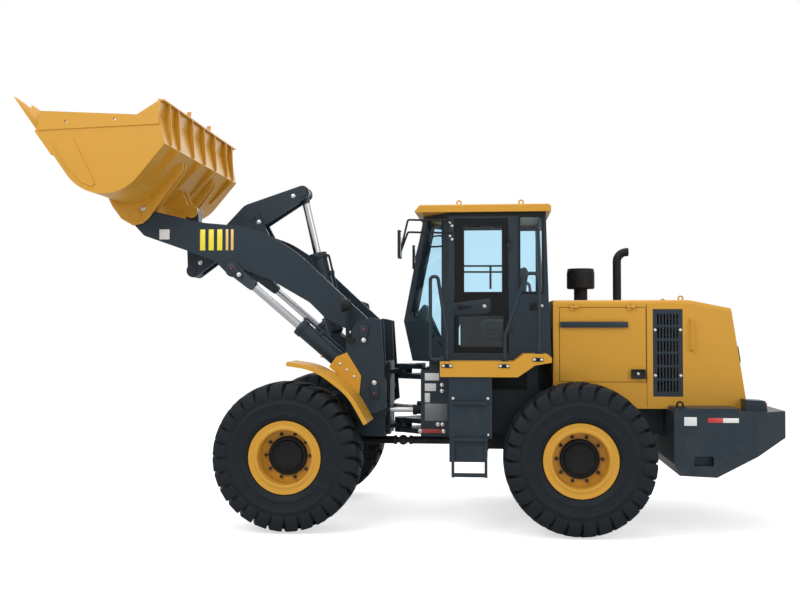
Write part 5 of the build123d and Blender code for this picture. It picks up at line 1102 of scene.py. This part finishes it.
# %% Bend the cylinder pipes
TILT_BASE = (0.790, 2.030)
LIFT_Y = 0.620
PIPE_START = 0.24
PIPE_BEND = 0.06
CYLINDERS = [
    ("lift_{}_left", LIFT_BASE, LIFT_EYE, LIFT_Y, 0.092, 1.160, 1.150),
    ("lift_{}_right", LIFT_BASE, LIFT_EYE, -LIFT_Y, 0.092, 1.160, 1.150),
    ("tilt_{}", TILT_BASE, CRANK_TOP, 0.0, 0.100, 1.020, 1.060),
]


def cylinder_axes(base, tip, y):
    """A cylinder's foot, the direction along it and the direction out of it, from its two pins as x and z."""
    along = Vector((tip[0] - base[0], 0.0, tip[1] - base[1])).normalized()
    return Vector((base[0], y, base[1])), along, Vector((-along.z, 0.0, along.x))


def barrel_pipe(base, tip, y, radius, end):
    """A pipe along a barrel with two clamps."""
    foot, along, out = cylinder_axes(base, tip, y)
    wide = along.cross(out).normalized()
    stand, sink = radius + 0.028, radius - 0.006
    route = [
        (PIPE_START, sink), (PIPE_START, stand), (PIPE_START + PIPE_BEND, stand),
        (end - PIPE_BEND, stand), (end, stand), (end, sink),
    ]
    made = [pipe([foot + along * s + out * height for s, height in route], 0.014)]
    for share in (0.3, 0.72):
        middle = foot + along * (PIPE_START + (end - PIPE_START) * share)
        rings = []
        for height, half in ((radius - 0.008, 0.034), (stand + 0.012, 0.030), (stand + 0.019, 0.022)):
            centre = middle + out * height
            corners = ((-1, -1), (1, -1), (1, 1), (-1, 1))
            rings.append([centre + along * a * 0.022 + wide * b * half for a, b in corners])
        made.append(loft(rings))
    return joined(made)


for name, base, tip, y, radius, pipe_end, mouth in CYLINDERS:
    fitted(barrel_pipe(base, tip, y, radius, pipe_end), name.format("pipe"), name.format("barrel"), slate_paint)

# %% [markdown]
# ## Lamps and mirrors
# Head lamps have a pale domed lens in a black bezel, tail lamps a red and an amber lens, and the mirrors a silvered
# face in their black heads. The lenses are spun or plated a little proud of their housings.

# %% Glaze the lamps and mirrors
LENS_LINE = [(TIP, 0.014), (0.020, 0.0135), (0.040, 0.011), (0.058, 0.006), (0.066, 0.0), (0.066, -0.004)]
BEZEL_LINE = [(0.064, -0.004), (0.064, 0.004), (0.068, 0.008), (0.076, 0.006), (0.079, 0.0), (0.079, -0.020)]
LAMP_STEPS = 32
TAIL_BOX = (-3.925, 1.315, -3.905, 1.385)
MIRROR_BOX = (-0.0675, 2.942, -0.0640, 3.218)
lamp_seats = [standing((0.611, side * 0.800, 2.430), (1, 0, 0)) for side in SIDES]
lens = turned(LENS_LINE, LAMP_STEPS)
bezel = turned(BEZEL_LINE, LAMP_STEPS)
lenses = joined([moved_copy(lens, seat) for seat in lamp_seats])
fitted(lenses, "head_lenses", "front_frame", pale_reflector, slot="window_glass")
bezels = joined([moved_copy(bezel, seat) for seat in lamp_seats])
fitted(bezels, "head_bezels", "front_frame", black_moulding)
discard(lens, bezel)
paired("tail_red", red_reflector, 0.900, 0.995, 0.005, [TAIL_BOX])
paired("tail_amber", amber_lens, 0.785, 0.880, 0.005, [TAIL_BOX])
paired("mirror_faces", mirror_silver, 0.916, 1.084, 0.0012, [MIRROR_BOX])

# %% [markdown]
# ## Counterweight trim
# The counterweight's sides carry a bare pale plate and a strip of red and white reflector, and a lifting ring stands
# on each lid. The ring is a bent round bar with a foot plate.

# %% Trim the counterweight
WEIGHT_INNER = 1.1995
WEIGHT_OUTER = 1.2015
WEIGHT_TRIM = (
    ("weight_plates", bare_plate, (-3.160, 1.158, -3.032, 1.248)),
    ("weight_red", red_reflector, (-3.424, 1.192, -3.274, 1.240)),
    ("weight_white", pale_reflector, (-3.584, 1.192, -3.425, 1.240)),
)
RING_LINE = [(-3.030, 1.337), (-3.036, 1.385), (-3.001, 1.405), (-2.966, 1.385), (-2.972, 1.337)]
RING_Y = 1.140
RING_FOOT = (-3.060, 1.336, -2.945, 1.346)
for name, finish, box in WEIGHT_TRIM:
    paired(name, finish, WEIGHT_INNER, WEIGHT_OUTER, THIN_EDGE, [box])
lid_rings = [pipe(across(side * RING_Y, RING_LINE), 0.010) for side in SIDES]
lid_rings += side_plates(RING_Y - 0.030, RING_Y + 0.030, 0.003, [RING_FOOT])
fitted(joined(lid_rings), "lid_rings", "rear_frame", black_enamel)

# %% [markdown]
# ## Cylinder heads
# Where a rod leaves its barrel, a screwed head with a ring of bolts holds the seals. It is a closed line spun round
# the cylinder's own axis, and the bolts stand on its face.

# %% Fit the cylinder heads
HEAD_LINE = [
    (-0.072, -0.004), (-0.072, 0.006), (-0.067, 0.009), (-0.010, 0.009), (-0.004, 0.006), (-0.004, -0.004),
    (-0.072, -0.004),
]
HEAD_BOLTS = 8


def cylinder_head(base, tip, y, radius, mouth):
    """A head on a barrel's mouth, with its ring of bolts."""
    foot, along, out = cylinder_axes(base, tip, y)
    made = [spun([foot + along * (mouth + s) + out * (radius + r) for s, r in HEAD_LINE], foot, along, 28)]
    for step in range(HEAD_BOLTS):
        turn = Matrix.Rotation(2.0 * math.pi * (step + 0.5) / HEAD_BOLTS, 3, along)
        place = foot + along * (mouth - 0.004) + turn @ out * (radius - 0.018)
        made.append(moved_copy(bolt, standing(place, along) @ Matrix.Scale(0.7, 4)))
    return joined(made)


for name, base, tip, y, radius, pipe_end, mouth in CYLINDERS:
    fitted(cylinder_head(base, tip, y, radius, mouth), name.format("head"), name.format("barrel"), slate_paint)

# %% [markdown]
# ## Bucket back
# The bucket's back is stiffened by upright ribs under a folded top edge, and by long plates that run from the boom's
# pins up the back. Each is cut from sheet, so its outline is drawn once, given its thickness and set along the width.

# %% Weld up the bucket back
RIB_LINE = [
    (2.468, 4.606), (2.490, 4.441), (2.430, 4.146), (2.404, 4.152),
    (2.406, 4.250), (2.416, 4.400), (2.420, 4.520), (2.430, 4.606),
]
RIB_PLACES = (-1.290, -0.990, -0.470, 0.0, 0.470, 0.990, 1.290)
RIB_HALF = 0.011
EAR_CENTRE = (3.097, 4.110)
EAR_RADIUS = 0.486
EAR_WALLS = ((0.5565, 0.5815), (0.6585, 0.6835))
ear_line = [
    (2.493, 4.073), (2.470, 4.040), (2.483, 3.969), (2.885, 3.425),
    (2.955, 3.372), (3.061, 3.350), (3.200, 3.430), (3.310, 3.575),
]
for degrees in (305, 290, 270, 250, 230):
    angle = math.radians(degrees)
    ear_line.append((EAR_CENTRE[0] + EAR_RADIUS * math.cos(angle), EAR_CENTRE[1] + EAR_RADIUS * math.sin(angle)))
ribs = [cut_sheet(RIB_LINE, y - RIB_HALF, y + RIB_HALF) for y in RIB_PLACES]
ribs.append(plate((2.428, -1.490, 4.598), (2.469, 1.490, 4.616), 0.003))
fitted(joined(ribs), "guard_ribs", "bucket", golden_paint)
ears = [cut_sheet(ear_line, side * inner, side * outer) for side in SIDES for inner, outer in EAR_WALLS]
fitted(joined(ears), "back_plates", "bucket", golden_paint)
bolts(both_sides(0.686, [(2.940, 3.545)]), "ear_bolts", "bucket", PIN_BOLT)

# %% [markdown]
# ## Under the platform
# Black sheets close the room between the chassis and the cab's floor, so that no daylight shows over the chassis. Their
# black is painted shade: a dark sheet set where that room lies in shadow. In front of them the drive shaft crosses the
# steering hinge in a joint. Its ball sits on the hinge's own axis, and each half of the shaft ends in it, so the two
# halves stay together at every steering angle.

# %% Close the chassis and join the shaft
SHADE_SHEET_LINE = [(-1.000, 1.470), (-1.700, 1.470), (-1.700, 1.792), (-1.000, 1.792)]
SHAFT_LEVEL = 0.850
BALL_LINE = [
    (-0.060, TIP), (-0.056, 0.022), (-0.042, 0.043), (-0.022, 0.056), (0.0, 0.060),
    (0.022, 0.056), (0.042, 0.043), (0.056, 0.022), (0.060, TIP),
]
STUB_LINE = [(-0.110, TIP), (-0.110, 0.052), (-0.078, 0.054), (-0.070, 0.034), (-0.030, 0.034), (-0.030, TIP)]


def shaft_spun(line):
    """A line of distances along the shaft and radii, spun round the shaft."""
    return spun([(x, 0.0, SHAFT_LEVEL + r) for x, r in line], (0, 0, SHAFT_LEVEL), (1, 0, 0), 20)


# These black sheets are painted shade for the shadowed room under the cab.
shade_sheets = [cut_sheet(SHADE_SHEET_LINE, side * 0.512, side * 0.528) for side in SIDES]
fitted(joined(shade_sheets), "chassis_shade_sheets", "rear_frame", black_moulding)
ball = shaft_spun(BALL_LINE)
stub = shaft_spun(STUB_LINE)
front_stub = moved_copy(stub, Matrix.Rotation(math.pi, 4, "Z"))
fitted(joined([ball, stub]), "shaft_joint", "rear_frame", cast_iron)
fitted(front_stub, "shaft_yoke", "front_frame", cast_iron)

# %% [markdown]
# ## Teeth
# The teeth are castings, so their edges are soft where the plates' edges are crisp. A copy of the plain teeth is
# merged, its flat faces are made whole again, and every edge gets a small bevel. It stands for the plain solid.

# %% Soften the teeth
teeth = bpy.data.objects.new("cast_teeth", frame["nodes"]["bucket_teeth"].data.copy())
bpy.context.scene.collection.objects.link(teeth)
open_mesh(teeth)
bpy.ops.mesh.remove_doubles(threshold=0.0002)
bpy.ops.mesh.dissolve_limited(angle_limit=math.radians(2.0))
bpy.ops.transform.resize(value=(1.0, 0.999, 1.0), center_override=(0.0, 0.0, 0.0))
bpy.ops.mesh.normals_make_consistent(inside=False)
close_mesh()
fitted(softened(teeth, 0.004), "cast_teeth", "bucket", golden_paint, nodes=["bucket_teeth"])

# %% [markdown]
# ## Inside the cab
# Through the glass one sees a grey-green dash in the nose, a black console with two sticks along the far wall, and
# bars across the far window. Dash and console are lofted to their own outlines and get softened edges.

# %% Furnish the cab
DASH_LINE = [(-0.150, 2.300), (-0.270, 2.455), (-0.345, 2.275), (-0.440, 2.060), (-0.440, 1.850), (-0.200, 1.850)]
CONSOLE_LINE = [
    (-1.220, 1.845), (-0.655, 1.845), (-0.655, 2.300), (-0.720, 2.390), (-1.150, 2.420), (-1.220, 2.360),
]
FAR_WINDOW = -0.742
WINDOW_BARS = (
    ([(-1.215, 2.948), (-0.650, 2.950)], 0.012),
    ([(-1.215, 2.872), (-0.650, 2.875)], 0.012),
    ([(-1.030, 2.948), (-1.030, 2.660)], 0.014),
)
GRIP_LINE = [(TIP, 0.026), (0.014, 0.022), (0.021, 0.008), (0.017, -0.010), (0.008, -0.022)]
dash = cut_sheet(DASH_LINE, -0.270, 0.270, edge=0.025, segments=3)
fitted(dash, "cab_dash", "rear_frame", dash_plastic)
console = cut_sheet(CONSOLE_LINE, -0.732, -0.600, edge=0.020, segments=3)
fitted(console, "cab_console", "rear_frame", black_moulding)
bars = [pipe(across(FAR_WINDOW, line), radius, smooth=False) for line, radius in WINDOW_BARS]
fitted(joined(bars), "window_bars", "rear_frame", black_enamel)
stick_grip = turned(GRIP_LINE, HEAD_STEPS)
sticks = []
for x in (-0.800, -0.880):
    sticks.append(pipe([(x, -0.660, 2.385), (x - 0.010, -0.640, 2.480), (x + 0.010, -0.620, 2.560)], 0.008))
    sticks.append(moved_copy(stick_grip, Matrix.Translation((x + 0.010, -0.620, 2.575))))
fitted(joined(sticks), "control_sticks", "rear_frame", black_moulding)

# %% [markdown]
# ## Chassis side and lock bar
# The rear chassis carries bare plates and large bolts on its side, and the red bar that locks the steering hinge is
# stowed below them on two bolts. The plates are plain.

# %% Fit the chassis side
CHASSIS_SIDE = 0.530
BAR_OUTER = CHASSIS_SIDE + 0.020
PLATE_BOXES = [(-0.452, 1.580, -0.292, 1.662), (-0.418, 1.460, -0.292, 1.545), (-0.350, 1.333, -0.292, 1.438)]
STEEL_BOX = (-0.547, 1.125, -0.292, 1.318)
BAR_BOX = (-0.525, 0.985, -0.220, 1.035)
SIDE_POINTS = [(-0.486, 1.529), (-0.486, 1.461), (-0.491, 1.085), (-0.440, 1.085)]
BAR_POINTS = [(-0.505, 1.010), (-0.240, 1.010)]
paired("chassis_plates", bare_plate, CHASSIS_SIDE - 0.001, CHASSIS_SIDE + 0.002, 0.0009, PLATE_BOXES)
paired("chassis_steel", brushed_plate, CHASSIS_SIDE - 0.001, CHASSIS_SIDE + 0.002, 0.0009, [STEEL_BOX])
paired("lock_bars", red_enamel, CHASSIS_SIDE - 0.002, BAR_OUTER, 0.008, [BAR_BOX])
chassis_places = both_sides(CHASSIS_SIDE, SIDE_POINTS) + both_sides(BAR_OUTER, BAR_POINTS)
bolts(chassis_places, "chassis_bolts", "rear_frame", 1.35)

# %% [markdown]
# ## Clamps, bolts and seams
# Hand rails end in black clamps on the platform's skirt, and bolts hold the fenders, the steps and the mirror arms.
# A black strip runs under the roof, and a thin dark line marks the seam in the hood behind the engine door.

# %% Fit the clamps and bolts
SKIRT_INNER = 1.2195
SKIRT_OUTER = 1.2300
STEP_FACE = 1.187
CLAMP_POINTS = [(-0.574, 1.770), (-1.175, 1.770), (-1.530, 1.838)]
CLAMP_BOXES = [(x - 0.055, z - 0.020, x + 0.055, z + 0.020) for x, z in CLAMP_POINTS]
CLAMP_BOLTS = [(x + shift, z) for x, z in CLAMP_POINTS for shift in (-0.038, 0.038)]
STEP_POINTS = [(x, z) for z in (1.424, 1.043) for x in (-0.636, -1.005)]
MIRROR_POINTS = [(-0.590, 3.337), (-0.612, 3.300), (-0.590, 3.188), (-0.612, 3.151)]
FENDER_POINTS = [(0.636, 1.771), (0.560, 1.705), (0.481, 1.631)]
paired("rail_clamps", black_enamel, SKIRT_INNER, SKIRT_OUTER, 0.004, CLAMP_BOXES)
side_places = both_sides(SKIRT_OUTER - 0.0005, CLAMP_BOLTS) + both_sides(STEP_FACE, STEP_POINTS)
bolts(side_places + both_sides(CAB_SIDE, MIRROR_POINTS), "side_bolts", "rear_frame", 0.85)
bolts(both_sides(TOWER_FACE, FENDER_POINTS), "fender_bolts", "front_frame", 0.9)

# %% Lay the roof strip and the hood seams
ROOF_BOX = (-1.640, 3.405, -0.580, 3.446)
SEAM_BOX = (-2.7245, 1.320, -2.7195, 2.435)
paired("roof_trim", black_moulding, CAB_SIDE - 0.001, CAB_SIDE + 0.005, 0.002, [ROOF_BOX])
paired("hood_seams", gasket_rubber, 0.7590, 0.7608, 0.0006, [SEAM_BOX])

# %% [markdown]
# ## Clearing up and laying the floor
# The models that were copied aren't part of the machine, so they go. The floor is laid last.

# %% Clear the bench and lay the floor
FLOOR_SIZE = 160.0
FLOOR_LEVEL = -0.002
FLOOR_GLOW = 0.62
discard(bolt, knob, stick_grip)
bpy.ops.object.select_all(action="DESELECT")
bpy.ops.mesh.primitive_grid_add(
    x_subdivisions=4, y_subdivisions=4, size=FLOOR_SIZE, location=(0.0, 0.0, FLOOR_LEVEL)
)
floor = bpy.context.object
floor.name = "studio_floor"
set_down(floor)
pale_floor, tree, shader = new_finish("pale_floor", (0.80, 0.80, 0.80))
set_values(shader, {
    "Roughness": 0.9, "Specular IOR Level": 0.0, "Base Color": (0.80, 0.80, 0.80, 1.0), "Emission Color": WHITE,
})
ray = add_node(tree, "LightPath")
glow = add_node(tree, "Math", {1: FLOOR_GLOW}, operation="MULTIPLY")
wire(tree, (ray, "Is Camera Ray", glow, 0), (glow, "Value", shader, "Emission Strength"))
floor.data.materials.append(pale_floor)
print("floor laid at", FLOOR_LEVEL)
